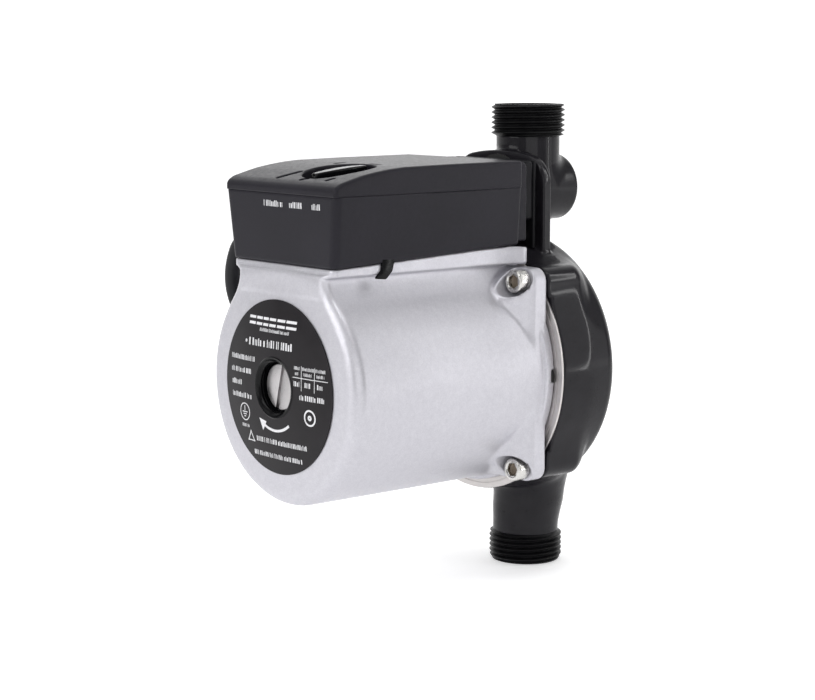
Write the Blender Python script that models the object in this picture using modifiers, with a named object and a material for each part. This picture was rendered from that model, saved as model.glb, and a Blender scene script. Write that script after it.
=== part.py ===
"""In-line automatic circulator pump with threaded ports, a canned rotor motor,
a flow switch chamber and a terminal box with a three-position selector.

Frame: +Z up along the pipe, origin at the centre of the inlet port's end face.
The motor's axis runs along -Y at height MOTOR_Z.
"""
import math

import bmesh
import bpy
from mathutils import Matrix, Vector

MM = 0.001

# ---- driving dimensions, millimetres ------------------------------------
PORT_TO_PORT = 210.0
MOTOR_Z = 94.5            # motor axis above the inlet face
THREAD_R = 16.62          # G1 parallel pipe thread, crest radius
THREAD_ROOT = 15.15
THREAD_PITCH = 2.309
PORT_BORE = 12.0
CHAMBER_Z = 172.0         # flow switch chamber axis, along Y
CHAMBER_R = 15.0
CHAMBER_BORE = 11.5
CASING_R = 57.5           # round volute
CASING_BACK = 1.5
FACE_Y = -30.9            # casting's joint face
RING_R = 58.5             # bearing plate
RING_FRONT = -32.7
RING_BACK = -31.2
SHELL_R = 50.5            # motor housing
SHELL_BORE = 46.5
RIM_R = 52.0              # rear rim of the motor housing
SHELL_FRONT = -141.0
LUG_X = 48.5
LUG_Z = 46.5
SCREW_PITCH = 41.0        # motor screws at +-41, +-41 about the motor axis
SEAT_Y = -41.0
CAN_R = 25.5
CAN_BORE = 25.0
SHAFT_R = 5.0
PLUG_PITCH = 1.5
KNOB_X, KNOB_Y, KNOB_Z = 12.0, -118.0, 177.4   # selector disc's underside
KNOB_TILT = 5.5           # selector leans with the lid's front slope, degrees
WELL_R = 15.6
PART_Z = 175.5            # terminal box's parting line
GAP = 0.3
DOME = [(0, -144.8), (13.0, -144.5), (25.0, -143.5), (37.2, -141.5)]

for old in list(bpy.data.objects):
    bpy.data.objects.remove(old, do_unlink=True)

parts = bpy.data.collections.new("circulator_pump")
cutters = bpy.data.collections.new("cutters")
for group in (parts, cutters):
    bpy.context.scene.collection.children.link(group)


# ---- materials -----------------------------------------------------------
def material(name, color, rough, metal=0.0):
    m = bpy.data.materials.new(name)
    m.use_nodes = True
    s = m.node_tree.nodes["Principled BSDF"]
    s.inputs["Base Color"].default_value = (*color, 1.0)
    s.inputs["Roughness"].default_value = rough
    s.inputs["Metallic"].default_value = metal
    m.diffuse_color = (*color, 1.0)
    return m


BLACK_PAINT = material("black_cast_paint", (0.012, 0.012, 0.014), 0.35, 0.1)
ALU_PAINT = material("silver_painted_aluminium", (0.56, 0.56, 0.60), 0.38, 0.7)
CHARCOAL = material("charcoal_plastic", (0.040, 0.040, 0.044), 0.55)
BLACK_PLASTIC = material("black_plastic", (0.010, 0.010, 0.011), 0.40)
STAINLESS = material("stainless_steel", (0.62, 0.60, 0.57), 0.25, 1.0)
PLATE_STEEL = material("bearing_plate_steel", (0.52, 0.49, 0.48), 0.42, 0.9)
NICKEL = material("nickel_plated_brass", (0.42, 0.42, 0.43), 0.35, 1.0)
RUBBER = material("black_rubber", (0.012, 0.012, 0.012), 0.75)
COPPER = material("enamelled_copper", (0.45, 0.17, 0.07), 0.38, 0.8)
LAMINATION = material("electrical_steel", (0.20, 0.20, 0.21), 0.50, 0.9)
GRAPHITE = material("graphite_ceramic", (0.05, 0.05, 0.055), 0.45)
CERAMIC = material("alumina_ceramic", (0.80, 0.78, 0.72), 0.30)
BRASS = material("brass", (0.55, 0.38, 0.15), 0.32, 1.0)
POLYMER = material("glass_filled_polymer", (0.45, 0.43, 0.38), 0.45)
LABEL = material("label_black", (0.010, 0.010, 0.011), 0.30)
BOARD = material("board_green", (0.02, 0.12, 0.05), 0.45)
CAP_GREY = material("capacitor_case", (0.55, 0.55, 0.53), 0.45)
GLASS = material("reed_glass", (0.60, 0.70, 0.65), 0.10)
MAGNET = material("ferrite", (0.06, 0.06, 0.065), 0.55, 0.3)
TERMINAL = material("terminal_cream", (0.62, 0.58, 0.48), 0.45)
CABLE = material("cable_sheath", (0.010, 0.010, 0.010), 0.60)


# ---- building helpers ------------------------------------------------------
def place(mesh, name, helper, mat=None, smooth=None):
    """Puts a mesh in the scene, as a part or as a wire-drawn helper."""
    obj = bpy.data.objects.new(name, mesh)
    (cutters if helper else parts).objects.link(obj)
    if helper:
        obj.hide_render = True
        obj.display_type = 'WIRE'
    if mat:
        obj.data.materials.append(mat)
    if smooth:
        mesh.shade_smooth()
        mesh.set_sharp_from_angle(angle=math.radians(smooth))
    return obj


def from_bmesh(bm, name, helper=False, mat=None, smooth=None):
    mesh = bpy.data.meshes.new(name)
    bm.to_mesh(mesh)
    bm.free()
    return place(mesh, name, helper, mat, smooth)


def box(name, lo, hi, helper=False, mat=None, bevel=0.0, segments=2):
    """A block between two corners, in millimetres."""
    bm = bmesh.new()
    bmesh.ops.create_cube(bm, size=1.0)
    lo, hi = Vector(lo), Vector(hi)
    size, mid = (hi - lo) * MM, (hi + lo) * 0.5 * MM
    for v in bm.verts:
        v.co = Vector((v.co.x * size.x, v.co.y * size.y, v.co.z * size.z))
    obj = from_bmesh(bm, name, helper, mat)
    obj.location = mid
    if bevel:
        b = obj.modifiers.new("round", 'BEVEL')
        b.width = bevel * MM
        b.segments = segments
        b.limit_method = 'NONE'
    return obj


AXIS_ROT = {
    'X': Matrix.Rotation(math.pi / 2, 4, 'Y'),
    'Y': Matrix.Rotation(-math.pi / 2, 4, 'X'),
    'Z': Matrix.Identity(4),
}


def rod(name, centre, axis, radius, lo, hi, seg=32, helper=False, mat=None, smooth=40):
    """A cylinder about a line parallel to an axis. centre gives the other two
    coordinates' line; lo and hi run along the axis."""
    bm = bmesh.new()
    bmesh.ops.create_cone(bm, cap_ends=True, segments=seg, radius1=radius * MM,
                          radius2=radius * MM, depth=(hi - lo) * MM)
    c = Vector(centre)
    c['XYZ'.index(axis)] = (lo + hi) / 2
    obj = from_bmesh(bm, name, helper, mat, smooth)
    obj.matrix_world = Matrix.Translation(c * MM) @ AXIS_ROT[axis]
    return obj


def turned(name, profile, centre=(0, 0, 0), axis='Z', steps=40, helper=False,
           mat=None, smooth=35, flip=False):
    """A turned shape: profile is a list of (radius, height along the axis).
    A profile that starts and ends at radius 0 is left open on the axis; any
    other is a closed ring section."""
    pts = list(profile)
    area = 0.0
    for (r0, h0), (r1, h1) in zip(pts, pts[1:] + pts[:1]):
        area += r0 * h1 - r1 * h0
    if area > 0:
        pts.reverse()
    solid = pts[0][0] == 0 and pts[-1][0] == 0
    bm = bmesh.new()
    vs = [bm.verts.new((r * MM, 0.0, h * MM)) for r, h in pts]
    for a, b in zip(vs, vs[1:]):
        bm.edges.new((a, b))
    if not solid:
        bm.edges.new((vs[-1], vs[0]))
    obj = from_bmesh(bm, name, helper, mat)
    obj.matrix_world = Matrix.Translation(Vector(centre) * MM) @ AXIS_ROT[axis]
    s = obj.modifiers.new("turn", 'SCREW')
    s.axis = 'Z'
    s.angle = 2 * math.pi
    s.steps = steps
    s.render_steps = steps
    s.use_merge_vertices = True
    s.merge_threshold = 0.00001
    s.use_smooth_shade = True
    return obj


def plate(name, outline, axis, lo, hi, helper=False, mat=None, smooth=30):
    """A flat outline (in the axis's two cross coordinates) given a thickness."""
    cu = bpy.data.curves.new(name + "_outline", 'CURVE')
    cu.dimensions = '2D'
    cu.fill_mode = 'BOTH'
    cu.extrude = (hi - lo) * 0.5 * MM
    sp = cu.splines.new('POLY')
    sp.points.add(len(outline) - 1)
    for p, (u, v) in zip(sp.points, outline):
        p.co = (u * MM, v * MM, 0.0, 1.0)
    sp.use_cyclic_u = True
    tmp = bpy.data.objects.new(name + "_outline", cu)
    cutters.objects.link(tmp)
    mid = (lo + hi) * 0.5 * MM
    tmp.matrix_world = {
        'X': Matrix(((0, 0, 1, mid), (1, 0, 0, 0), (0, 1, 0, 0), (0, 0, 0, 1))),
        'Y': Matrix(((1, 0, 0, 0), (0, 0, -1, mid), (0, 1, 0, 0), (0, 0, 0, 1))),
        'Z': Matrix(((1, 0, 0, 0), (0, 1, 0, 0), (0, 0, 1, mid), (0, 0, 0, 1))),
    }[axis]
    return curve_to_mesh(tmp, name, helper, mat, smooth)


def curve_to_mesh(tmp, name, helper, mat, smooth=30):
    bpy.context.view_layer.update()
    ev = tmp.evaluated_get(bpy.context.evaluated_depsgraph_get())
    mesh = bpy.data.meshes.new_from_object(ev)
    mesh.name = name
    bm = bmesh.new()
    bm.from_mesh(mesh)
    bmesh.ops.remove_doubles(bm, verts=bm.verts, dist=0.000001)
    bmesh.ops.recalc_face_normals(bm, faces=bm.faces)
    bm.to_mesh(mesh)
    bm.free()
    mw = tmp.matrix_world.copy()
    bpy.data.objects.remove(tmp, do_unlink=True)
    obj = place(mesh, name, helper, mat, smooth)
    obj.matrix_world = mw
    return obj


def loft(name, rings, helper=False, mat=None, smooth=30):
    """A skin through rings of equal point count, lowest ring first, capped."""
    bm = bmesh.new()
    rows = [[bm.verts.new(Vector(p) * MM) for p in ring] for ring in rings]
    n = len(rows[0])
    for a, b in zip(rows, rows[1:]):
        for i in range(n):
            bm.faces.new((a[i], a[(i + 1) % n], b[(i + 1) % n], b[i]))
    bm.faces.new(list(reversed(rows[0])))
    bm.faces.new(rows[-1])
    bmesh.ops.recalc_face_normals(bm, faces=bm.faces)
    return from_bmesh(bm, name, helper, mat, smooth)


def rounded_rect(cx, cy, hx, hy, r, n=4):
    """Corner-rounded rectangle as (u, v) points, anticlockwise."""
    out = []
    for k, (sx, sy) in enumerate(((1, 1), (-1, 1), (-1, -1), (1, -1))):
        for i in range(n + 1):
            a = math.pi / 2 * (k + i / n)
            out.append((cx + sx * (hx - r) + r * math.cos(a),
                        cy + sy * (hy - r) + r * math.sin(a)))
    return out


def arc(cx, cy, r, a0, a1, n=5):
    return [(cx + r * math.cos(math.radians(a0 + (a1 - a0) * i / n)),
             cy + r * math.sin(math.radians(a0 + (a1 - a0) * i / n))) for i in range(n + 1)]


def boolean(obj, tool, operation):
    m = obj.modifiers.new(operation.lower(), 'BOOLEAN')
    m.operation = operation
    m.solver = 'EXACT'
    m.object = tool
    return obj


def cut(obj, *tools):
    for t in tools:
        boolean(obj, t, 'DIFFERENCE')


def join(obj, *tools):
    for t in tools:
        boolean(obj, t, 'UNION')


def pivot_at(obj, point):
    """Moves an object's origin to a point on its joint's axis; its shape stays put."""
    there = Matrix.Translation(Vector(point) * MM)
    obj.data.transform(there.inverted() @ obj.matrix_basis)
    obj.matrix_basis = there


def corners(dx=SCREW_PITCH, dz=SCREW_PITCH, z=MOTOR_Z):
    return [(sx * dx, z + sz * dz) for sz in (1, -1) for sx in (-1, 1)]


# ---- pump housing: the casting with both ports -----------------------------
def port_profile(rows, first, end_r, neck_r, neck_h):
    """Turned profile of a threaded port, heights measured from its end face."""
    pts = [(0, 0), (end_r, 0)]
    half = THREAD_PITCH / 2
    for i in range(rows):
        h = first + i * THREAD_PITCH
        crest = THREAD_R if i else THREAD_R - 0.35
        pts += [(crest, h), (THREAD_ROOT, h + half)]
    pts[-1] = (neck_r, pts[-1][1] + 0.6)
    return pts + [(neck_r, neck_h), (0, neck_h)]


housing = turned("pump_housing",
                 [(0, -32.0), (CASING_R, -32.0), (CASING_R, CASING_BACK - 6.0)]
                 + arc(CASING_R - 6.0, CASING_BACK - 6.0, 6.0, 0, 90, 4)[1:]
                 + [(0, CASING_BACK)],
                 (0, 0, MOTOR_Z), 'Y', 44, mat=BLACK_PAINT)


def lug_ring(y, hx, hz, r):
    return [(u, y, MOTOR_Z + v) for u, v in rounded_rect(0, 0, hx, hz, r, 3)]


flange = loft("casting_flange", [
    lug_ring(-33.0, LUG_X, LUG_Z, 7.0), lug_ring(-14.0, LUG_X, LUG_Z, 7.0),
    lug_ring(-9.0, 46.0, LUG_Z, 9.0), lug_ring(-1.0, 34.0, 44.0, 12.0)], helper=True)


def oval(z, cx, cy, a, b, n=24):
    return [(cx + a * math.cos(2 * math.pi * i / n), cy + b * math.sin(2 * math.pi * i / n), z)
            for i in range(n)]


neck = loft("inlet_neck", [
    oval(12.6, 0, 0, 15.0, 15.0), oval(23.5, 0, 0, 15.0, 15.0),
    oval(32.0, 0.9, 0.9, 16.0, 14.4), oval(40.0, 2.2, 2.2, 17.4, 14.2),
    oval(47.0, 3.4, 2.6, 20.4, 14.4), oval(62.0, 4.0, 0.0, 26.0, 15.5)], helper=True)
inlet = turned("inlet_port", port_profile(5, 2.2, 15.3, 14.4, 19.0),
               steps=24, helper=True)
outlet = turned("outlet_port",
                [(r, PORT_TO_PORT - h) for r, h in port_profile(6, 0.9, 15.9, 14.3, 34.0)],
                steps=24, helper=True)
suction = turned("suction_bulge", [(0, 30.0), (13.6, 30.0), (13.6, 99.0)]
                 + arc(0, 99.0, 13.6, 0, 90, 4)[1:], (0, 3.0, 0), 'Z', 20, helper=True)
riser = rod("outlet_riser", (0, 0, 0), 'Z', 10.0, 120.0, 166.0, 20, helper=True)
chamber = turned("switch_chamber", [(0, -15.0), (CHAMBER_R, -15.0), (CHAMBER_R, 16.5),
                                    (CHAMBER_R - 0.5, 17.5), (CHAMBER_R - 1.6, 18.0), (0, 18.0)],
                 (0, 0, CHAMBER_Z), 'Y', 28, helper=True)
FLANGE_EDGE = [(29.0, 138.0), (29.0, 175.0), (27.5, 181.0), (24.0, 185.2), (18.0, 187.8), (10.0, 189.0)]
switch_flange = plate("switch_flange", FLANGE_EDGE + [(0.0, 189.5)]
                      + [(-x, z) for x, z in reversed(FLANGE_EDGE)], 'Y', -17.8, -13.0, helper=True)
join(housing, flange, neck, inlet, suction, riser, chamber, outlet, switch_flange)

cut(housing,
    rod("c_recess", (0, 0, MOTOR_Z), 'Y', RING_R + GAP, -40, FACE_Y, 40, helper=True),
    turned("c_groove", [(47.0, -31.6), (51.4, -31.6), (51.4, -28.9), (47.0, -28.9)],
           (0, 0, MOTOR_Z), 'Y', 36, helper=True),
    rod("c_volute", (0, 0, MOTOR_Z), 'Y', 45.0, -40, -13.0, 28, helper=True),
    rod("c_eye", (0, 0, MOTOR_Z), 'Y', 9.6, -16, 3.0, 20, helper=True),
    rod("c_ring_seat", (0, 0, MOTOR_Z), 'Y', 14.4, -16, -9.3, 24, helper=True),
    rod("c_inlet", (0, 0, 0), 'Z', PORT_BORE, -3, 30, 24, helper=True),
    turned("c_suction", [(0, 27.0), (10.0, 27.0), (10.0, 98.0)] + arc(0, 98.0, 10.0, 0, 90, 4)[1:],
           (0, 3.0, 0), 'Z', 16, helper=True),
    box("c_throat", (-6.0, -25.0, 127.0), (6.0, 5.0, 138.5), helper=True),
    rod("c_riser", (0, 0, 0), 'Z', 6.8, 133.0, 165.0, 16, helper=True),
    rod("c_chamber", (0, 0, CHAMBER_Z), 'Y', CHAMBER_BORE, -22, 14.5, 28, helper=True),
    rod("c_outlet", (0, 0, 0), 'Z', PORT_BORE, CHAMBER_Z + 1.0, PORT_TO_PORT + 3, 24, helper=True))
for i, (x, z) in enumerate(corners(), 1):
    cut(housing, rod(f"c_post_{i}", (x, 0, z), 'Y', 3.3, -40, -18.0, 12, helper=True))
SWITCH_SCREWS = [(-18.0, 179.5), (18.0, 179.5), (-18.0, 153.0), (18.0, 153.0)]
for i, (x, z) in enumerate(SWITCH_SCREWS, 1):
    cut(housing, rod(f"c_flange_{i}", (x, 0, z), 'Y', 1.9, -22, -10.0, 10, helper=True))

turned("housing_gasket", [(47.4, -30.9), (51.0, -30.9), (51.0, -29.3), (47.4, -29.3)],
       (0, 0, MOTOR_Z), 'Y', 36, mat=RUBBER)
turned("wear_ring", [(11.5, -13.0), (14.1, -13.0), (14.1, -9.7), (11.5, -9.7)],
       (0, 0, MOTOR_Z), 'Y', 24, mat=STAINLESS)

# ---- bearing plate: pressed stainless disc with the rear bearing's hub ------
bearing_plate = turned("bearing_plate", [
    (11.4, -46.0), (13.0, -46.0), (13.0, RING_FRONT), (RING_R, RING_FRONT),
    (RING_R, RING_BACK), (11.4, RING_BACK)], (0, 0, MOTOR_Z), 'Y', 40, mat=PLATE_STEEL)
for i, (x, z) in enumerate(corners(), 1):
    cut(bearing_plate, rod(f"c_scallop_{i}", (x, 0, z), 'Y', 4.2, -36, -28, 12, helper=True))

# ---- motor housing ----------------------------------------------------------
shell = turned("motor_housing",
               DOME + arc(44.5, SHELL_FRONT + 6.0, 6.0, -90, 0, 3)
               + [(SHELL_R, -39.0), (RIM_R, -37.2), (RIM_R, -33.0), (0, -33.0)],
               (0, 0, MOTOR_Z), 'Y', 40, mat=ALU_PAINT)
lugs = loft("motor_lugs", [
    lug_ring(-62.0, 34.0, 33.0, 12.0), lug_ring(-51.0, 41.0, 39.5, 9.0),
    lug_ring(-44.0, 47.0, 45.0, 7.0), lug_ring(-41.0, LUG_X, LUG_Z, 6.0),
    lug_ring(-34.2, LUG_X, LUG_Z, 6.0)], helper=True)


def saddle_ring(z, hx, y0, y1, r=4.0, rise=0.0):
    return [(u, v, z + rise * (v - y0) / (y1 - y0))
            for u, v in rounded_rect(0, (y0 + y1) / 2, hx, (y1 - y0) / 2, r, 3)]


saddle = loft("saddle", [
    saddle_ring(112.0, 29.0, -140.6, -42.0), saddle_ring(137.0, 29.0, -140.6, -42.0),
    saddle_ring(139.6, 29.3, -140.0, -42.0, rise=2.0), saddle_ring(141.8, 30.8, -139.2, -42.0, rise=2.6),
    saddle_ring(143.0, 33.6, -138.8, -42.0, rise=2.7)], helper=True)
lip = plate("saddle_lip", [(-139.2, 142.9), (-42.0, 145.4), (-42.0, 150.3),
                           (-60.0, 149.6), (-138.0, 146.1), (-139.2, 145.4)], 'X', -34.5, 34.5, helper=True)
join(shell, lugs, saddle, lip)
cut(shell,
    rod("c_bore", (0, 0, MOTOR_Z), 'Y', SHELL_BORE, -134.5, -28, 32, helper=True),
    rod("c_plug_seat", (0, 0, MOTOR_Z), 'Y', 12.6, -152, -136.0, 28, helper=True),
    rod("c_plug_hole", (0, 0, MOTOR_Z), 'Y', 8.4, -152, -130.0, 20, helper=True),
    rod("c_leads", (0, -108, 0), 'Z', 8.4, 130, 156, 16, helper=True),
    box("c_drain", (48.0, -37.0, MOTOR_Z - 3), (54.0, -31.0, MOTOR_Z + 3), helper=True))
for i, (x, z) in enumerate(corners(), 1):
    cut(shell,
        rod(f"c_pocket_{i}", (x, 0, z), 'Y', 7.2, -90, SEAT_Y, 16, helper=True),
        rod(f"c_screw_{i}", (x, 0, z), 'Y', 3.4, -50, -30, 12, helper=True))
for i, (x, y) in enumerate(((-26.0, -70.0), (26.0, -70.0)), 1):
    cut(shell, rod(f"c_box_screw_{i}", (x, y, 0), 'Z', 2.3, 141.0, 156, 12, helper=True))
cut(shell, rod("c_earth", (-24.0, -127.0, 0), 'Z', 2.3, 141.0, 156, 12, helper=True))

for i, (x, z) in enumerate(corners(), 1):
    screw = turned(f"motor_screw_{i}", [
        (0, SEAT_Y - GAP - 6.0), (4.4, SEAT_Y - GAP - 6.0), (5.0, SEAT_Y - GAP - 5.5),
        (5.0, SEAT_Y - GAP), (3.0, SEAT_Y - GAP), (3.0, -19.5), (0, -19.5)],
        (x, 0, z), 'Y', 16, mat=STAINLESS)
    cut(screw, rod(f"c_hex_{i}", (x, 0, z), 'Y', 2.9, -52, SEAT_Y - GAP - 2.8, 6, helper=True))

# ---- canned motor -----------------------------------------------------------
turned("rotor_can", [
    (CAN_BORE, -33.3), (CAN_BORE, -119.4), (11.9, -119.4), (11.9, -134.0),
    (12.6, -134.0), (12.6, -120.1), (CAN_R, -120.1), (CAN_R, -34.2),
    (30.0, -34.2), (30.0, -33.3)], (0, 0, MOTOR_Z), 'Y', 28, mat=STAINLESS)
turned("stator_core", [(25.9, -110.0), (46.1, -110.0), (46.1, -56.0), (25.9, -56.0)],
       (0, 0, MOTOR_Z), 'Y', 28, mat=LAMINATION)
for label, y0, y1 in (("front", -128.0, -110.4), ("rear", -55.6, -40.0)):
    turned(f"winding_{label}", [(28.5, y0), (40.0, y0), (43.0, y0 + 3), (43.0, y1 - 1),
                                (41.0, y1), (28.5, y1)],
           (0, 0, MOTOR_Z), 'Y', 24, mat=COPPER)
turned("can_seal", [(13.0, -133.8), (15.6, -133.8), (15.6, -131.6), (13.0, -131.6)],
       (0, 0, MOTOR_Z), 'Y', 24, mat=RUBBER)
turned("front_bearing", [(5.3, -130.0), (11.6, -130.0), (11.6, -120.5), (5.3, -120.5)],
       (0, 0, MOTOR_Z), 'Y', 24, mat=GRAPHITE)
turned("rear_bearing", [(5.3, -45.6), (11.1, -45.6), (11.1, -33.4), (5.3, -33.4)],
       (0, 0, MOTOR_Z), 'Y', 24, mat=GRAPHITE)
turned("rotor_core", [(5.3, -110.0), (23.6, -110.0), (24.0, -109.6), (24.0, -56.4),
                      (23.6, -56.0), (5.3, -56.0)],
       (0, 0, MOTOR_Z), 'Y', 28, mat=STAINLESS)
turned("thrust_washer", [(5.3, -55.0), (9.0, -55.0), (9.0, -50.6), (5.3, -50.6)],
       (0, 0, MOTOR_Z), 'Y', 20, mat=CERAMIC)
shaft = turned("rotor_shaft", [(0, -127.5), (4.4, -127.5), (SHAFT_R, -126.9),
                               (SHAFT_R, -15.5), (3.0, -15.5), (3.0, -10.6), (0, -10.6)],
               (0, 0, MOTOR_Z), 'Y', 20, mat=CERAMIC)
cut(shaft, box("c_shaft_slot", (-0.8, -130, MOTOR_Z - 6), (0.8, -125.5, MOTOR_Z + 6), helper=True))

# ---- impeller: closed wheel, six backward vanes, eye towards +Y --------------
IMP_R = 34.0
impeller = turned("impeller", [
    (5.3, -29.6), (8.0, -29.6), (8.0, -28.2), (IMP_R, -28.2), (IMP_R, -26.4),
    (8.0, -26.4), (6.6, -16.2), (5.3, -16.2)], (0, 0, MOTOR_Z), 'Y', 28, mat=POLYMER)
shroud = turned("impeller_shroud", [
    (9.4, -10.4), (11.1, -10.4), (11.1, -17.0), (IMP_R, -18.6), (IMP_R, -20.2),
    (11.4, -18.6), (9.4, -17.0)], (0, 0, MOTOR_Z), 'Y', 28, helper=True)
for k in range(6):
    vane = []
    for side in (1, -1):
        edge = []
        for i in range(4):
            t = i / 3
            r = 11.0 + (IMP_R - 0.5 - 11.0) * t
            a = 2 * math.pi * k / 6 - 1.15 * t
            edge.append((r * math.cos(a) - side * 0.7 * math.sin(a - 0.7),
                         MOTOR_Z + r * math.sin(a) + side * 0.7 * math.cos(a - 0.7)))
        vane += edge if side == 1 else list(reversed(edge))
    join(impeller, plate(f"vane_{k + 1}", vane, 'Y', -27.0, -18.9, helper=True))
join(impeller, shroud)
nut = rod("impeller_nut", (0, 0, MOTOR_Z), 'Y', 5.6, -15.0, -11.6, 6, mat=BRASS)
cut(nut, rod("c_nut", (0, 0, MOTOR_Z), 'Y', 3.3, -17, -9, 16, helper=True))

# ---- name plate and vent plug -------------------------------------------------
LABEL_CURVE = [(13.2, -144.85), (25.0, -143.85), (36.8, -141.9)]
turned("nameplate", LABEL_CURVE + [(r, y - 0.35) for r, y in reversed(LABEL_CURVE)],
       (0, 0, MOTOR_Z), 'Y', 32, mat=LABEL)
plug = turned("vent_plug", [
    (0, -141.0), (9.4, -141.0), (9.9, -140.5), (9.9, -137.9), (8.0, -137.9),
    (8.0, -131.0), (0, -131.0)], (0, 0, MOTOR_Z), 'Y', 28, mat=NICKEL)
slot = box("c_plug_slot", (-1.0, -3.0, -12.0), (1.0, 1.6, 12.0), helper=True)
slot.location = (0, -141.2 * MM, MOTOR_Z * MM)
slot.rotation_euler = (0, math.radians(14), 0)
cut(plug, slot)
turned("vent_plug_oring", [(8.4, -137.6), (9.6, -137.6), (9.6, -136.3), (8.4, -136.3)],
       (0, 0, MOTOR_Z), 'Y', 20, mat=RUBBER)


# ---- terminal box ---------------------------------------------------------------
def floor_z(y):
    """The box's underside rises gently from the front to the rear."""
    return 146.6 + (y + 137.3) / 98.7 * 4.4


def box_ring(hx_front, hx_rear, y_front, y_rear, r, z=None, lift=0.0):
    out = []
    for u, v in rounded_rect(0, 0, 1.0, 1.0, 0.0001, 1):
        pass
    n = 4
    corner = [(hx_rear, y_rear, 0), (-hx_rear, y_rear, 1), (-hx_front, y_front, 2), (hx_front, y_front, 3)]
    for x, y, k in corner:
        sx, sy = (1 if x > 0 else -1), (1 if y == y_rear else -1)
        for i in range(n + 1):
            a = math.pi / 2 * (k + i / n)
            px = x - sx * r + r * math.cos(a)
            py = y - sy * r + r * math.sin(a)
            out.append((px, py, z if z is not None else floor_z(py) + lift))
    return out


base = loft("terminal_box_base", [
    box_ring(33.2, 34.4, -136.0, -39.6, 3.0), box_ring(34.7, 35.8, -137.4, -38.6, 3.5, lift=2.7),
    box_ring(38.1, 37.5, -139.8, -38.6, 3.5, z=PART_Z - 0.15)], mat=CHARCOAL)
hood_low = box("hood_low", (-30.5, -42.0, 153.6), (30.5, -29.0, PART_Z - 0.3), helper=True)
hood_top = box("hood_top", (-30.5, -38.1, 174.0), (30.5, -29.0, 186.0), helper=True, bevel=2.5)
hook = plate("hook", [(-115.5, 151.0), (-108.0, 151.0), (-108.3, 144.3), (-111.7, 140.7),
                      (-118.8, 141.0), (-114.8, 144.6)], 'X', 34.9, 36.8, helper=True)
join(base, hood_low, hood_top, hook)
tray = loft("c_tray", [
    box_ring(31.2, 32.2, -133.9, -42.0, 3.0, lift=2.6), box_ring(35.7, 35.2, -137.4, -41.2, 3.0, z=PART_Z + 4)],
    helper=True)
cut(base, tray,
    box("c_hood", (-27.0, -45.0, 157.0), (27.0, -31.4, 171.0), helper=True),
    rod("c_lead_hole", (0, -108, 0), 'Z', 8.4, 144, 156, 16, helper=True),
    rod("c_gland", (0, -118, 156.6), 'X', 5.6, -45, -28, 20, helper=True),
    rod("c_base_earth", (-24.0, -127.0, 0), 'Z', 2.3, 144, 156, 12, helper=True))
for i, (x, y) in enumerate(((-26.0, -70.0), (26.0, -70.0)), 1):
    cut(base, rod(f"c_base_screw_{i}", (x, y, 0), 'Z', 2.3, 144, 158, 12, helper=True))


def lid_profile(inset=0.0):
    """Side view of the lid: a low front lip, a convex slope, then a flat top."""
    t = inset
    z0 = PART_Z + (0.15 if not t else -3.0)
    top = [(-38.6 - t, 187.0), (-80.0, 186.9), (-104.0, 186.6), (-112.0, 186.0), (-118.5, 185.2),
           (-125.5, 184.1), (-132.5, 182.4), (-137.0 + t * 0.6, 180.9), (-139.8 + t, 178.8)]
    return [(-139.8 + t, z0), (-38.6 - t, z0)] + [(y, z - t) for y, z in top]


def leaning(obj):
    """Stands a helper or part on the selector's leaning axis."""
    obj.matrix_world = (Matrix.Translation(Vector((KNOB_X, KNOB_Y, KNOB_Z)) * MM)
                        @ Matrix.Rotation(math.radians(KNOB_TILT), 4, 'X') @ obj.matrix_world)
    return obj


lid = plate("terminal_box_lid", lid_profile(), 'X', -37.9, 37.9, mat=CHARCOAL)
lid_round = lid.modifiers.new("round", 'BEVEL')
lid_round.width = 1.3 * MM
lid_round.segments = 2
lid_round.limit_method = 'ANGLE'
lid_round.angle_limit = math.radians(50)
hollow = plate("c_lid_hollow", lid_profile(2.2), 'X', -35.5, 35.5, helper=True)
cut(hollow, leaning(rod("c_cup_keep", (0, 0, 0), 'Z', WELL_R + 1.5, -3.0, 20.0, 28, helper=True)))
cup = leaning(rod("lid_cup", (0, 0, 0), 'Z', WELL_R + 1.5, -2.1, 2.6, 28, helper=True))
cut(lid, hollow)
join(lid, cup)
cut(lid,
    leaning(rod("c_well", (0, 0, 0), 'Z', WELL_R, -0.3, 24.0, 36, helper=True)),
    leaning(rod("c_knob_hole", (0, 0, 0), 'Z', 4.4, -6.0, 3.0, 16, helper=True)))
gasket = plate("lid_gasket", rounded_rect(0, -89.25, 34.0, 47.15, 3.0, 3), 'Z', PART_Z - 1.5, PART_Z - 0.5,
               mat=RUBBER)
cut(gasket, box("c_gasket", (-32.8, -135.5, 170), (32.8, -43.1, 180), helper=True))

# ---- mode selector: disc, stem and a raised finger bar -----------------------------
knob = leaning(rod("mode_selector_knob", (0, 0, 0), 'Z', WELL_R - 0.9, 0.0, 2.5, 32,
                   mat=BLACK_PLASTIC))
grip = box("knob_grip", (-2.6, -13.2, 2.0), (2.6, 13.2, 7.1), helper=True)
grip.matrix_world = Matrix.Translation(grip.location)
leaning(grip)
stem = leaning(rod("knob_stem", (0, 0, 0), 'Z', 4.0, -2.7, 1.0, 16, helper=True))
join(knob, grip, stem)
switch = box("mode_switch_body", (KNOB_X - 12, KNOB_Y - 12, 158.0), (KNOB_X + 12, KNOB_Y + 12, 174.2),
             mat=TERMINAL, bevel=0.8, segments=1)

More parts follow.
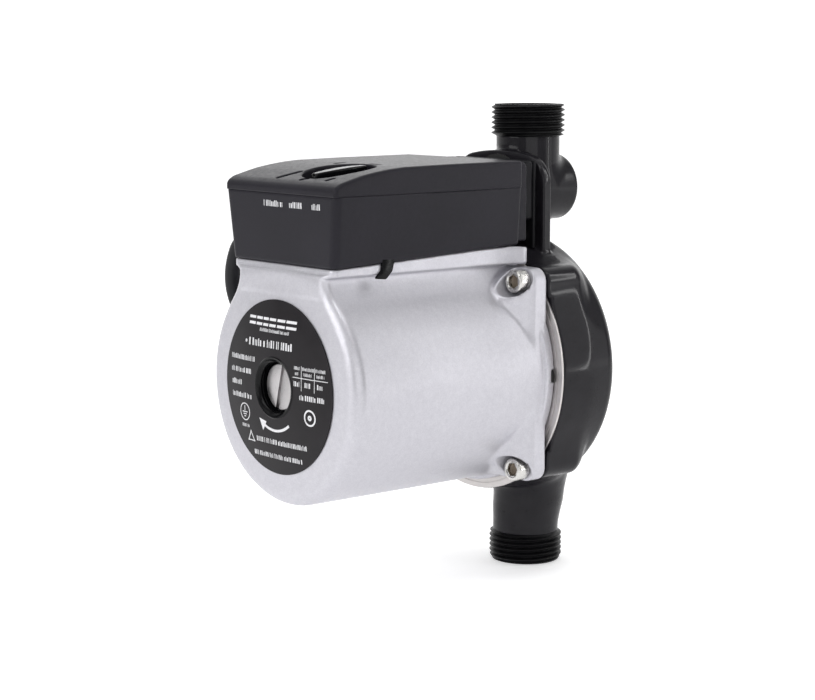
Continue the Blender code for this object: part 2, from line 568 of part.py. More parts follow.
# ---- inside the terminal box -------------------------------------------------------
rod("capacitor", (0, -60.0, 166.5), 'X', 11.5, -31.0, 22.0, 28, mat=CAP_GREY)
box("control_board", (-31.0, -97.0, 155.4), (31.0, -77.0, 157.0), mat=BOARD)
box("terminal_block", (-29.0, -94.0, 157.4), (3.0, -80.0, 170.0), mat=TERMINAL, bevel=0.6, segments=1)
turned("lead_grommet", [(5.6, 142.0), (8.0, 142.0), (8.0, 153.6), (5.6, 153.6)], (0, -108, 0), 'Z', 16,
       mat=RUBBER)
for i, (x, y) in enumerate(((-26.0, -70.0), (26.0, -70.0)), 1):
    z0 = floor_z(y) + 2.6 + GAP
    turned(f"terminal_box_screw_{i}", [(0, 142.0), (2.0, 142.0), (2.0, z0), (3.6, z0), (3.6, z0 + 1.6),
                                       (3.0, z0 + 2.4), (0, z0 + 2.4)], (x, y, 0), 'Z', 12, mat=STAINLESS)
z0 = floor_z(-127) + 2.6 + GAP
turned("earth_screw", [(0, 142.0), (2.0, 142.0), (2.0, z0), (4.0, z0), (4.0, z0 + 1.8), (3.2, z0 + 2.6),
                       (0, z0 + 2.6)], (-24.0, -127.0, 0), 'Z', 12, mat=BRASS)

# ---- cable gland and the visible run of cable ----------------------------------------
GY, GZ = -118.0, 156.6
turned("cable_gland_body", [(4.2, -41.0), (8.2, -41.0), (8.2, -37.4), (5.3, -37.4), (5.3, -31.5), (4.2, -31.5)],
       (0, GY, GZ), 'X', 24, mat=BLACK_PLASTIC)
turned("gland_seal", [(4.2, -43.2), (5.4, -43.2), (5.4, -41.4), (4.2, -41.4)], (0, GY, GZ), 'X', 20, mat=RUBBER)
turned("cable_gland_nut", [(4.2, -46.8), (5.8, -46.8), (7.9, -44.4), (7.9, -41.3), (5.8, -41.3), (5.8, -43.6),
                           (4.2, -43.6)], (0, GY, GZ), 'X', 24, mat=BLACK_PLASTIC)


def cable_points():
    """Out of the gland, over a tight bend, then a slack bow down behind the motor."""
    pts = [(-30.0, GY, GZ), (-47.0, GY, GZ)]
    for i in range(1, 5):
        a = math.radians(18 * i)
        pts.append((-47.0 - 9.5 * math.sin(a), GY, GZ - 9.5 + 9.5 * math.cos(a)))
    for t in range(1, 10):
        s = t / 9
        pts.append((-56.0 - 11.2 * math.sin(math.pi * (0.08 + 0.87 * s)),
                    GY + 12.0 * s * s, 150.2 - 48.0 * s))
    return pts


cu = bpy.data.curves.new("power_cable", 'CURVE')
cu.dimensions = '3D'
cu.bevel_depth = 3.6 * MM
cu.bevel_resolution = 1
cu.use_fill_caps = True
sp = cu.splines.new('POLY')
cable = cable_points()
sp.points.add(len(cable) - 1)
for p, c in zip(sp.points, cable):
    p.co = (c[0] * MM, c[1] * MM, c[2] * MM, 1.0)
cable_obj = bpy.data.objects.new("power_cable", cu)
parts.objects.link(cable_obj)
cu.materials.append(CABLE)

# ---- flow switch ---------------------------------------------------------------------
fs_base = box("flow_switch_base", (-26.0, -21.2, 147.0), (26.0, -19.4, 186.0), mat=BLACK_PLASTIC,
              bevel=0.6, segments=1)
join(fs_base, rod("switch_spigot", (0, 0, CHAMBER_Z), 'Y', 10.9, -20.0, -15.7, 24, helper=True),
     box("ear_l", (-7.0, -17.0, 163.3), (-5.6, -11.6, 166.4), helper=True),
     box("ear_r", (5.6, -17.0, 163.3), (7.0, -11.6, 166.4), helper=True))
for s in (-1, 1):
    cut(fs_base, rod(f"c_ear_{s}", (0, -13.2, 164.8), 'X', 1.0, 5.2 if s > 0 else -8.0,
                     8.0 if s > 0 else -5.2, 12, helper=True))
cut(fs_base, rod("c_base_clear", (0, 0, MOTOR_Z), 'Y', 58.2, -40, -10, 40, helper=True))
for i, (x, z) in enumerate(SWITCH_SCREWS, 1):
    cut(fs_base, rod(f"c_base_hole_{i}", (x, 0, z), 'Y', 2.1, -24, -17, 12, helper=True))
    turned(f"flow_switch_screw_{i}", [(0, -24.1), (2.7, -24.1), (3.4, -23.3), (3.4, -21.5), (1.6, -21.5),
                                      (1.6, -13.4), (0, -13.4)], (x, 0, z), 'Y', 12, mat=STAINLESS)
turned("flow_switch_gasket", [(11.3, -19.1), (16.0, -19.1), (16.0, -18.1), (11.3, -18.1)],
       (0, 0, CHAMBER_Z), 'Y', 24, mat=RUBBER)
cover = box("flow_switch_cover", (-26.8, -28.6, 159.8), (26.8, -21.5, 186.0), mat=BLACK_PLASTIC, bevel=2.0)
cut(cover, box("c_cover", (-23.0, -27.0, 163.0), (23.0, -20.0, 184.0), helper=True))
rod("paddle_pin", (0, -13.2, 164.8), 'X', 0.7, -6.9, 6.9, 12, mat=STAINLESS)
paddle = box("flow_paddle", (-6.8, -10.9, 163.9), (6.8, 8.0, 165.3), mat=POLYMER)
join(paddle, rod("paddle_barrel", (0, -13.2, 164.8), 'X', 1.9, -5.2, 5.2, 16, helper=True),
     box("paddle_web", (-5.2, -13.0, 164.0), (5.2, -10.0, 165.2), helper=True))
cut(paddle, rod("c_paddle", (0, -13.2, 164.8), 'X', 1.0, -8.0, 8.0, 12, helper=True))
magnet = rod("paddle_magnet", (0, -4.0, 0), 'Z', 2.4, 165.6, 168.4, 16, mat=MAGNET)
for swinging in (paddle, magnet):
    pivot_at(swinging, (0, -13.2, 164.8))
rod("reed_switch", (0, -24.2, 174.0), 'X', 1.3, -9.0, 9.0, 12, mat=GLASS)

for obj in parts.objects:
    obj["family"] = "circulator_pump"
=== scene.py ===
"""Looks for the in-line circulator pump: fine surfaces, materials, light and camera.

Lengths in the shape code are millimetres in the frame's axes; they become
metres when a mesh is made. +Z runs up the pipe, the motor points to -Y.
"""
import math

import bmesh
import bpy
import numpy as np
from mathutils import Matrix, Vector


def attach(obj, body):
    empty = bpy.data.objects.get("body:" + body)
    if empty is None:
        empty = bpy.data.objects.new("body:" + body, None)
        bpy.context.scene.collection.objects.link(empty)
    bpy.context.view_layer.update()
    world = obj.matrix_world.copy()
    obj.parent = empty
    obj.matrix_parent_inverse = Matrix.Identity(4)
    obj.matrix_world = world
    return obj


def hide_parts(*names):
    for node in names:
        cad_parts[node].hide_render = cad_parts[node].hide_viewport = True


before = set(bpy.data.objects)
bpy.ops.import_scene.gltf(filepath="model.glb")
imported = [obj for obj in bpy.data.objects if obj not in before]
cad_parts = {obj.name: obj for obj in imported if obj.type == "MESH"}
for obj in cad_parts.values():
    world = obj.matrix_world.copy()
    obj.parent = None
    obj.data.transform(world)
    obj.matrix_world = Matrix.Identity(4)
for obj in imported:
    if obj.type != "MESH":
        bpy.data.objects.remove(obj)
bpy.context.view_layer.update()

MM = 0.001
MZ = 94.5                 # motor axis height
PITCH = 41.0              # motor screws about the motor axis
PART_Z = 175.5            # terminal box's parting line
KNOB = (12.0, -118.0, 177.4)
KNOB_TILT = math.radians(5.5)
RNG = np.random.default_rng(7)


# =============================================================================
# materials
# =============================================================================
class Mat:
    """A Principled material with a few node shortcuts; patterns use object
    coordinates, so they keep their scale in metres."""

    def __init__(self, name, color, rough, metal=0.0, spec=0.5, coat=0.0, coat_rough=0.1):
        self.m = bpy.data.materials.new(name)
        self.m.use_nodes = True
        self.t = self.m.node_tree
        self.b = self.t.nodes["Principled BSDF"]
        self.b.inputs["Base Color"].default_value = (*color, 1)
        self.b.inputs["Roughness"].default_value = rough
        self.b.inputs["Metallic"].default_value = metal
        self.b.inputs["Specular IOR Level"].default_value = spec
        self.b.inputs["Coat Weight"].default_value = coat
        self.b.inputs["Coat Roughness"].default_value = coat_rough
        self.color, self.rough = color, rough
        self.tc = self.t.nodes.new("ShaderNodeTexCoord")
        self.height = None

    def node(self, kind, **values):
        n = self.t.nodes.new(kind)
        for k, v in values.items():
            setattr(n, k, v)
        return n

    def link(self, a, b):
        self.t.links.new(a, b)

    def coords(self, scale=(1, 1, 1), rot=(0, 0, 0)):
        n = self.node("ShaderNodeMapping")
        n.inputs["Scale"].default_value = scale
        n.inputs["Rotation"].default_value = rot
        self.link(self.tc.outputs["Object"], n.inputs["Vector"])
        return n.outputs["Vector"]

    def noise(self, size_mm, detail=2.0, rough=0.5, coords=None, distortion=0.0):
        n = self.node("ShaderNodeTexNoise")
        n.inputs["Scale"].default_value = 1000.0 / size_mm
        n.inputs["Detail"].default_value = detail
        n.inputs["Roughness"].default_value = rough
        n.inputs["Distortion"].default_value = distortion
        self.link(coords if coords is not None else self.tc.outputs["Object"], n.inputs["Vector"])
        return n.outputs["Fac"]

    def cells(self, size_mm, output="Color", feature='F1'):
        n = self.node("ShaderNodeTexVoronoi")
        n.feature = feature
        n.inputs["Scale"].default_value = 1000.0 / size_mm
        self.link(self.tc.outputs["Object"], n.inputs["Vector"])
        return n.outputs[output]

    def math(self, op, a, b=None):
        n = self.node("ShaderNodeMath")
        n.operation = op
        for i, v in enumerate((a, b)):
            if v is None:
                continue
            if isinstance(v, (int, float)):
                n.inputs[i].default_value = v
            else:
                self.link(v, n.inputs[i])
        return n.outputs[0]

    def span(self, fac, lo, hi, a, b):
        """fac from lo..hi mapped to a..b, clamped."""
        n = self.node("ShaderNodeMapRange")
        n.inputs["From Min"].default_value = lo
        n.inputs["From Max"].default_value = hi
        n.inputs["To Min"].default_value = a
        n.inputs["To Max"].default_value = b
        self.link(fac, n.inputs["Value"])
        return n.outputs["Result"]

    def ramp(self, fac, stops):
        n = self.node("ShaderNodeValToRGB")
        e = n.color_ramp.elements
        while len(e) < len(stops):
            e.new(0.5)
        for el, (pos, col) in zip(e, stops):
            el.position = pos
            el.color = (*col, 1)
        self.link(fac, n.inputs["Fac"])
        return n.outputs["Color"]

    def base(self, out):
        self.link(out, self.b.inputs["Base Color"])
        return self

    def roughness(self, out):
        self.link(out, self.b.inputs["Roughness"])
        return self

    def bump(self, height, mm, strength=1.0):
        """height 0..1 raised by mm."""
        n = self.node("ShaderNodeBump")
        n.inputs["Distance"].default_value = mm * MM
        n.inputs["Strength"].default_value = strength
        self.link(height, n.inputs["Height"])
        if self.height is not None:
            self.link(self.height, n.inputs["Normal"])
        self.height = n.outputs["Normal"]
        self.link(self.height, self.b.inputs["Normal"])
        return self

    def radius_y(self, z=MZ, x=0.0):
        """Distance from an axis along Y, in metres."""
        sep = self.node("ShaderNodeSeparateXYZ")
        self.link(self.tc.outputs["Object"], sep.inputs[0])
        dx = self.math('SUBTRACT', sep.outputs[0], x * MM)
        dz = self.math('SUBTRACT', sep.outputs[2], z * MM)
        return self.math('SQRT', self.math('ADD', self.math('MULTIPLY', dx, dx), self.math('MULTIPLY', dz, dz)))

    def axis(self, i):
        sep = self.node("ShaderNodeSeparateXYZ")
        self.link(self.tc.outputs["Object"], sep.inputs[0])
        return sep.outputs[i]


def mix(c, k):
    return tuple(v * k for v in c)


def cast_black():
    m = Mat("cast_black_paint", (0.010, 0.0094, 0.0118), 0.34, spec=0.06, coat=0.28, coat_rough=0.08)
    big, mid, fine = m.noise(9.0, 3), m.noise(1.9, 4, 0.62), m.noise(0.55, 3, 0.6)
    m.base(m.ramp(big, [(0.3, (0.0085, 0.0078, 0.0100)), (0.7, (0.0125, 0.0116, 0.0145))]))
    m.roughness(m.span(m.math('ADD', mid, big), 0.7, 1.3, 0.26, 0.46))
    m.bump(mid, 0.10, 0.7)
    m.bump(fine, 0.045, 0.8)
    return m.m


def thread_black():
    m = Mat("cut_thread_black", (0.004, 0.004, 0.0045), 0.40, spec=0.12)
    mid = m.noise(2.2, 4, 0.6)
    m.base(m.ramp(mid, [(0.35, (0.0025, 0.0025, 0.003)), (0.75, (0.006, 0.006, 0.0065))]))
    m.roughness(m.span(mid, 0.3, 0.7, 0.34, 0.50))
    m.bump(m.noise(0.4, 3), 0.03, 0.7)
    return m.m


def silver_paint():
    m = Mat("silver_metallic_paint", (0.50, 0.495, 0.53), 0.42, 0.62, spec=0.5)
    flake = m.cells(0.42)
    sep = m.node("ShaderNodeSeparateColor")
    m.link(flake, sep.inputs[0])
    big, mid = m.noise(26.0, 2), m.noise(2.6, 3, 0.6)
    tone = m.math('ADD', m.math('MULTIPLY', sep.outputs[0], 0.35), m.math('MULTIPLY', mid, 0.65))
    m.base(m.ramp(tone, [(0.15, (0.462, 0.456, 0.495)), (0.5, (0.508, 0.502, 0.540)), (0.85, (0.560, 0.555, 0.590))]))
    m.roughness(m.span(m.math('ADD', m.math('MULTIPLY', sep.outputs[1], 0.5), m.math('MULTIPLY', big, 0.5)), 0.2, 0.8,
                       0.34, 0.50))
    m.bump(mid, 0.035, 0.7)
    m.bump(m.noise(0.45, 2), 0.018, 0.8)
    return m.m


def textured_plastic(name, color, rough, coarse=0.42, lift=0.035, spec=0.45):
    m = Mat(name, color, rough, spec=spec)
    big, grain, fine = m.noise(34.0, 2), m.noise(coarse, 2, 0.6), m.noise(coarse * 4.5, 3)
    m.base(m.ramp(m.math('ADD', m.math('MULTIPLY', big, 0.6), m.math('MULTIPLY', fine, 0.4)),
                  [(0.3, mix(color, 0.86)), (0.7, mix(color, 1.15))]))
    m.roughness(m.span(m.math('ADD', fine, grain), 0.7, 1.3, rough - 0.06, rough + 0.08))
    m.bump(grain, lift, 0.75)
    return m.m


def machined(name, color, rough, axis_y=True, spots=0.0, x=0.0, z=MZ):
    """Turned metal: fine concentric tool marks about an axis along Y."""
    m = Mat(name, color, rough, 1.0)
    if axis_y:
        r = m.radius_y(z, x)
        n = m.node("ShaderNodeTexNoise")
        n.noise_dimensions = '1D'
        n.inputs["Scale"].default_value = 1.0
        n.inputs["Detail"].default_value = 3.0
        m.link(m.math('MULTIPLY', r, 4200.0), n.inputs["W"])
        lines = n.outputs["Fac"]
    else:
        lines = m.noise(0.5, 3, 0.6, m.coords((1, 1, 14)))
    big = m.noise(5.0, 3)
    m.base(m.ramp(m.math('ADD', m.math('MULTIPLY', lines, 0.5), m.math('MULTIPLY', big, 0.5)),
                  [(0.3, mix(color, 0.82)), (0.7, mix(color, 1.12))]))
    m.roughness(m.span(m.math('ADD', lines, big), 0.7, 1.3, max(rough - 0.1, 0.08), rough + 0.12))
    m.bump(lines, 0.014, 0.8)
    return m.m


def plain_brushed(name, color, rough, size=0.7, metal=1.0):
    m = Mat(name, color, rough, metal)
    big, fine = m.noise(size * 8, 3), m.noise(size, 3, 0.6, m.coords((9, 1, 1)))
    m.base(m.ramp(m.math('ADD', m.math('MULTIPLY', fine, 0.5), m.math('MULTIPLY', big, 0.5)),
                  [(0.3, mix(color, 0.84)), (0.7, mix(color, 1.12))]))
    m.roughness(m.span(fine, 0.3, 0.7, rough - 0.07, rough + 0.09))
    m.bump(fine, 0.015, 0.7)
    return m.m


def rubber():
    m = Mat("rubber_seal", (0.014, 0.014, 0.014), 0.7, spec=0.35)
    n = m.noise(0.8, 3)
    m.base(m.ramp(n, [(0.3, (0.010, 0.010, 0.010)), (0.7, (0.020, 0.020, 0.020))]))
    m.roughness(m.span(n, 0.3, 0.7, 0.6, 0.8)).bump(n, 0.03, 0.6)
    return m.m


def copper():
    """Wound wire: rows that run round the motor's axis."""
    m = Mat("enamelled_copper", (0.50, 0.17, 0.06), 0.34, 0.85, coat=0.4)
    r = m.radius_y()
    y = m.axis(1)
    rows = m.math('SINE', m.math('MULTIPLY', m.math('ADD', r, y), 9000.0))
    n = m.noise(3.0, 3)
    m.base(m.ramp(n, [(0.3, (0.36, 0.11, 0.035)), (0.7, (0.62, 0.24, 0.09))]))
    m.roughness(m.span(n, 0.3, 0.7, 0.28, 0.42))
    m.bump(m.span(rows, -1, 1, 0, 1), 0.18, 0.8)
    return m.m


def laminations():
    m = Mat("stator_laminations", (0.20, 0.20, 0.21), 0.45, 0.9)
    y = m.axis(1)
    rows = m.math('SINE', m.math('MULTIPLY', y, 12566.0))
    n = m.noise(4.0, 3)
    m.base(m.ramp(n, [(0.3, (0.15, 0.15, 0.155)), (0.7, (0.26, 0.26, 0.265))]))
    m.roughness(m.span(n, 0.3, 0.7, 0.4, 0.55)).bump(m.span(rows, -1, 1, 0, 1), 0.05, 0.8)
    return m.m


def ceramic(name, color, rough):
    m = Mat(name, color, rough, spec=0.5)
    n = m.noise(1.2, 4, 0.6)
    m.base(m.ramp(n, [(0.3, mix(color, 0.88)), (0.7, mix(color, 1.06))]))
    m.roughness(m.span(n, 0.3, 0.7, rough - 0.05, rough + 0.08)).bump(n, 0.01, 0.5)
    return m.m


def board_green():
    m = Mat("control_board_mask", (0.012, 0.11, 0.045), 0.35, spec=0.5)
    brick = m.node("ShaderNodeTexBrick")
    brick.inputs["Scale"].default_value = 260.0
    brick.inputs["Color1"].default_value = (0.010, 0.10, 0.040, 1)
    brick.inputs["Color2"].default_value = (0.014, 0.13, 0.050, 1)
    brick.inputs["Mortar"].default_value = (0.035, 0.22, 0.085, 1)
    brick.inputs["Mortar Size"].default_value = 0.03
    m.link(m.tc.outputs["Object"], brick.inputs["Vector"])
    m.base(brick.outputs["Color"])
    m.roughness(m.span(m.noise(1.5, 3), 0.3, 0.7, 0.3, 0.42)).bump(brick.outputs["Fac"], 0.03, 0.6)
    return m.m


def clear_glass():
    m = Mat("reed_glass", (0.75, 0.86, 0.80), 0.08, spec=0.5)
    m.b.inputs["Transmission Weight"].default_value = 0.85
    n = m.noise(2.0, 2)
    m.base(m.ramp(n, [(0.3, (0.70, 0.82, 0.75)), (0.7, (0.82, 0.92, 0.86))]))
    m.roughness(m.span(n, 0.3, 0.7, 0.05, 0.14))
    return m.m


def label_black():
    m = Mat("label_film_black", (0.012, 0.0115, 0.0125), 0.40, spec=0.16)
    n, g = m.noise(14.0, 2), m.noise(0.6, 2)
    m.base(m.ramp(n, [(0.3, (0.0100, 0.0086, 0.0102)), (0.7, (0.0138, 0.0120, 0.0140))]))
    m.roughness(m.span(m.math('ADD', n, g), 0.7, 1.3, 0.32, 0.44)).bump(g, 0.008, 0.6)
    return m.m


def print_white(name="label_print_white", color=(0.70, 0.70, 0.72)):
    m = Mat(name, color, 0.5, spec=0.4)
    n = m.noise(0.7, 3, 0.6)
    m.base(m.ramp(n, [(0.28, mix(color, 0.78)), (0.6, color)]))
    m.roughness(m.span(n, 0.3, 0.7, 0.44, 0.58)).bump(n, 0.01, 0.5)
    return m.m


def cable_sheath():
    m = Mat("cable_sheath_black", (0.014, 0.014, 0.015), 0.46, spec=0.2)
    n = m.noise(1.4, 3, 0.55, m.coords((1, 1, 0.25)))
    m.base(m.ramp(n, [(0.3, (0.008, 0.008, 0.010)), (0.7, (0.013, 0.013, 0.015))]))
    m.roughness(m.span(n, 0.3, 0.7, 0.38, 0.54)).bump(n, 0.03, 0.6)
    return m.m


MATS = {
    "cast": cast_black(), "thread": thread_black(), "silver": silver_paint(),
    "charcoal": textured_plastic("charcoal_moulding", (0.0152, 0.0142, 0.0188), 0.37, spec=0.13),
    "black": textured_plastic("black_moulding", (0.006, 0.006, 0.0075), 0.36, 0.6, 0.02, 0.10),
    "knob": textured_plastic("selector_black", (0.0028, 0.0028, 0.0034), 0.20, 0.8, 0.010, 0.16),
    "ring": machined("bearing_plate_zinc", (0.60, 0.575, 0.565), 0.44),
    "plug": machined("vent_plug_nickel", (0.50, 0.485, 0.49), 0.36),
    "steel": plain_brushed("stainless_steel", (0.60, 0.59, 0.57), 0.26),
    "turned": machined("turned_stainless", (0.58, 0.575, 0.56), 0.28),
    "rubber": rubber(), "copper": copper(), "lamination": laminations(),
    "graphite": ceramic("carbon_bearing", (0.035, 0.035, 0.037), 0.42),
    "alumina": ceramic("alumina_ceramic", (0.74, 0.72, 0.66), 0.28),
    "brass": plain_brushed("brass", (0.60, 0.40, 0.14), 0.28),
    "polymer": textured_plastic("glass_filled_polymer", (0.36, 0.34, 0.29), 0.46, 0.5, 0.03),
    "label": label_black(), "print": print_white(), "board": board_green(),
    "cream": textured_plastic("cream_moulding", (0.55, 0.51, 0.40), 0.42, 0.7, 0.02),
    "grey": textured_plastic("capacitor_grey", (0.42, 0.42, 0.40), 0.42, 0.7, 0.02),
    "glass": clear_glass(), "cable": cable_sheath(),
    "ferrite": ceramic("ferrite", (0.045, 0.045, 0.048), 0.5),
    "socket": ceramic("socket_oxide", (0.16, 0.125, 0.09), 0.5),
}


# =============================================================================
# mesh helpers
# =============================================================================
def finish_piece(obj, key, body, stands_for=()):
    obj.data.materials.clear()
    obj.data.materials.append(MATS[key])
    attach(obj, body)
    if stands_for:
        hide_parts(*stands_for)
    return obj


def link_mesh(name, mesh):
    obj = bpy.data.objects.new(name, mesh)
    bpy.context.scene.collection.objects.link(obj)
    return obj


def smooth_by_angle(mesh, degrees):
    mesh.shade_smooth()
    if degrees < 180:
        mesh.set_sharp_from_angle(angle=math.radians(degrees))


def make(name, verts_mm, faces, smooth=35):
    mesh = bpy.data.meshes.new(name)
    v = np.asarray(verts_mm, float) * MM
    if isinstance(faces, np.ndarray):
        mesh.vertices.add(len(v))
        mesh.vertices.foreach_set("co", v.astype(np.float32).ravel())
        n, k = faces.shape
        mesh.loops.add(n * k)
        mesh.loops.foreach_set("vertex_index", faces.astype(np.int32).ravel())
        mesh.polygons.add(n)
        mesh.polygons.foreach_set("loop_start", np.arange(0, n * k, k, dtype=np.int32))
        mesh.update(calc_edges=True)
        mesh.validate()
    else:
        mesh.from_pydata([tuple(p) for p in v], [], faces)
    smooth_by_angle(mesh, smooth)
    return link_mesh(name, mesh)


def recalc(obj):
    bm = bmesh.new()
    bm.from_mesh(obj.data)
    bmesh.ops.recalc_face_normals(bm, faces=bm.faces)
    bm.to_mesh(obj.data)
    bm.free()
    return obj


def grid_faces(rows, cols, wrap_rows=False, wrap_cols=True):
    i = np.arange(rows if wrap_rows else rows - 1)
    j = np.arange(cols if wrap_cols else cols - 1)
    i, j = np.meshgrid(i, j, indexing='ij')
    i2, j2 = (i + 1) % rows, (j + 1) % cols
    return np.stack([i * cols + j, i * cols + j2, i2 * cols + j2, i2 * cols + j], -1).reshape(-1, 4)


def axis_frame(axis):
    """Columns u, v, w of a turned shape whose axis w is the named one."""
    return {'X': ((0, 1, 0), (0, 0, 1), (1, 0, 0)), 'Y': ((0, 0, 1), (1, 0, 0), (0, 1, 0)),
            'Z': ((1, 0, 0), (0, 1, 0), (0, 0, 1))}[axis]


def rounded_profile(points, radii, n=4):
    """Closed or open 2D chain with its corners rounded; radii per point."""
    out = []
    count = len(points)
    for i, p in enumerate(points):
        r = radii[i]
        if r <= 0 or i in (0, count - 1):
            out.append(p)
            continue
        a, b = np.array(points[i - 1], float), np.array(points[(i + 1) % count], float)
        p = np.array(p, float)
        da, db = a - p, b - p
        la, lb = np.linalg.norm(da), np.linalg.norm(db)
        da, db = da / la, db / lb
        cosang = float(np.clip(da @ db, -1, 1))
        half = math.acos(cosang) / 2
        t = min(r / math.tan(half), la * 0.49, lb * 0.49)
        r = t * math.tan(half)
        c = p + (da + db) / np.linalg.norm(da + db) * (r / math.sin(half))
        s, e = p + da * t - c, p + db * t - c
        a0, a1 = math.atan2(s[1], s[0]), math.atan2(e[1], e[0])
        d = (a1 - a0 + math.pi) % (2 * math.pi) - math.pi
        for k in range(n + 1):
            ang = a0 + d * k / n
            out.append((c[0] + r * math.cos(ang), c[1] + r * math.sin(ang)))
    return [tuple(map(float, q)) for q in out]


def lathe(name, profile, centre=(0, 0, 0), axis='Y', seg=96, smooth=35):
    """Turned solid from (radius, height) points. A profile that begins and
    ends at radius 0 closes on the axis; any other is a closed ring."""
    u, v, w = (np.array(c, float) for c in axis_frame(axis))
    closed = not (profile[0][0] == 0 and profile[-1][0] == 0)
    th = np.arange(seg) * 2 * math.pi / seg
    verts, rings = [], []
    for r, h in profile:
        if r == 0:
            rings.append((len(verts),))
            verts.append(w * h)
        else:
            rings.append(tuple(range(len(verts), len(verts) + seg)))
            verts.extend(list((np.cos(th)[:, None] * u + np.sin(th)[:, None] * v) * r + w * h))
    faces = []
    pairs = list(zip(rings, rings[1:])) + ([(rings[-1], rings[0])] if closed else [])
    for a, b in pairs:
        if len(a) == 1 and len(b) == 1:
            continue
        for i in range(seg):
            j = (i + 1) % seg
            if len(a) == 1:
                faces.append((a[0], b[j], b[i]))
            elif len(b) == 1:
                faces.append((a[i], a[j], b[0]))
            else:
                faces.append((a[i], a[j], b[j], b[i]))
    verts = np.array(verts) + np.array(centre, float)
    return recalc(make(name, verts, faces, smooth))


def tool(obj):
    """Marks a mesh as a shape for a boolean; it is removed once applied."""
    obj.hide_render = True
    return obj


def apply_boolean(obj, others, operation='DIFFERENCE', smooth=35):
    for o in others:
        m = obj.modifiers.new("b", 'BOOLEAN')
        m.operation, m.solver, m.object = operation, 'EXACT', o
    bpy.context.view_layer.update()
    ev = obj.evaluated_get(bpy.context.evaluated_depsgraph_get())
    mesh = bpy.data.meshes.new_from_object(ev)
    obj.modifiers.clear()
    mesh.transform(obj.matrix_world)
    obj.matrix_world = Matrix.Identity(4)
    obj.data = mesh
    for o in others:
        bpy.data.objects.remove(o, do_unlink=True)
    smooth_by_angle(mesh, smooth)
    return obj


def apply_modifiers(obj, smooth=35):
    return apply_boolean(obj, [], smooth=smooth)


def bevel(obj, width, segments=3, angle=40, apply=True):
    m = obj.modifiers.new("edge", 'BEVEL')
    m.width, m.segments = width * MM, segments
    m.limit_method, m.angle_limit = 'ANGLE', math.radians(angle)
    m.use_clamp_overlap = True
    m.miter_outer = 'MITER_ARC'
    return apply_modifiers(obj) if apply else obj


def block(name, lo, hi, e=0.0, seg=3):
    lo, hi = np.array(lo, float), np.array(hi, float)
    bm = bmesh.new()
    bmesh.ops.create_cube(bm, size=1.0)
    for v in bm.verts:
        v.co = Vector((lo + hi) / 2 + np.array(v.co) * (hi - lo)) * MM
    if e:
        bmesh.ops.bevel(bm, geom=list(bm.edges), offset=e * MM, segments=seg, profile=0.5, affect='EDGES')
    mesh = bpy.data.meshes.new(name)
    bm.to_mesh(mesh)
    bm.free()
    smooth_by_angle(mesh, 35)
    return link_mesh(name, mesh)


def prism(name, outline, axis, lo, hi, e=0.0, seg=3, smooth=35):
    """A flat outline given a thickness along an axis, its rims rounded by e.
    Outline pairs are the other two coordinates, in X, Y, Z order."""
    pts = np.array(outline, float)
    area = 0.5 * np.sum(pts[:, 0] * np.roll(pts[:, 1], -1) - np.roll(pts[:, 0], -1) * pts[:, 1])
    if area < 0:
        pts = pts[::-1]
    i = 'XYZ'.index(axis)
    other = [k for k in range(3) if k != i]
    n = len(pts)
    v = np.zeros((2 * n, 3))
    v[:n, other] = pts
    v[n:, other] = pts
    v[:n, i], v[n:, i] = lo, hi
    faces = [tuple(range(n)), tuple(range(n, 2 * n))] + [(k, (k + 1) % n, n + (k + 1) % n, n + k) for k in range(n)]
    obj = recalc(make(name, v, faces, smooth))
    if e:
        bevel(obj, e, seg, 60)
        smooth_by_angle(obj.data, smooth)
    return obj


def ring_skin(name, rings, smooth=35):
    """Skin through closed rings of equal count, with both ends capped."""
    n = len(rings[0])
    v = np.concatenate([np.array(r, float) for r in rings])
    faces = [tuple(map(int, f)) for f in grid_faces(len(rings), n)]
    faces += [tuple(range(n)), tuple(range(len(v) - n, len(v)))]
    return recalc(make(name, v, faces, smooth))


def rounded_rect(cx, cy, hx, hy, r, n=8):
    out = []
    for k, (sx, sy) in enumerate(((1, 1), (-1, 1), (-1, -1), (1, -1))):
        for i in range(n + 1):
            a = math.pi / 2 * (k + i / n)
            out.append((cx + sx * (hx - r) + r * math.cos(a), cy + sy * (hy - r) + r * math.sin(a)))
    return out


def join_meshes(name, objs, smooth=35):
    bm = bmesh.new()
    for o in objs:
        bm.from_mesh(o.data)
    mesh = bpy.data.meshes.new(name)
    bm.to_mesh(mesh)
    bm.free()
    for o in objs:
        bpy.data.objects.remove(o, do_unlink=True)
    smooth_by_angle(mesh, smooth)
    return link_mesh(name, mesh)


def turn(obj, matrix):
    obj.data.transform(matrix)
    return obj


# =============================================================================
# cast shapes: one distance function each, skinned and settled on its surface
# =============================================================================
def smin(a, b, k):
    h = np.maximum(k - np.abs(a - b), 0.0) / k
    return np.minimum(a, b) - h * h * k * 0.25


def smax(a, b, k):
    return -smin(-a, -b, k)


def hyp(*v):
    return np.sqrt(sum(c * c for c in v))


def edge_round(a, b, e):
    return np.minimum(np.maximum(a, b), 0) + hyp(np.maximum(a, 0), np.maximum(b, 0)) - e


def rcyl(u, v, w, r, lo, hi, e=0.0):
    return edge_round(hyp(u, v) - (r - e), np.abs(w - (lo + hi) / 2) - ((hi - lo) / 2 - e), e)


def rrect(u, v, hu, hv, r):
    return edge_round(np.abs(u) - (hu - r), np.abs(v) - (hv - r), r)


def slab(d, w, lo, hi, e=0.0):
    """A flat shape d given a thickness along w with rounded rims."""
    return edge_round(d + e, np.abs(w - (lo + hi) / 2) - ((hi - lo) / 2 - e), e)


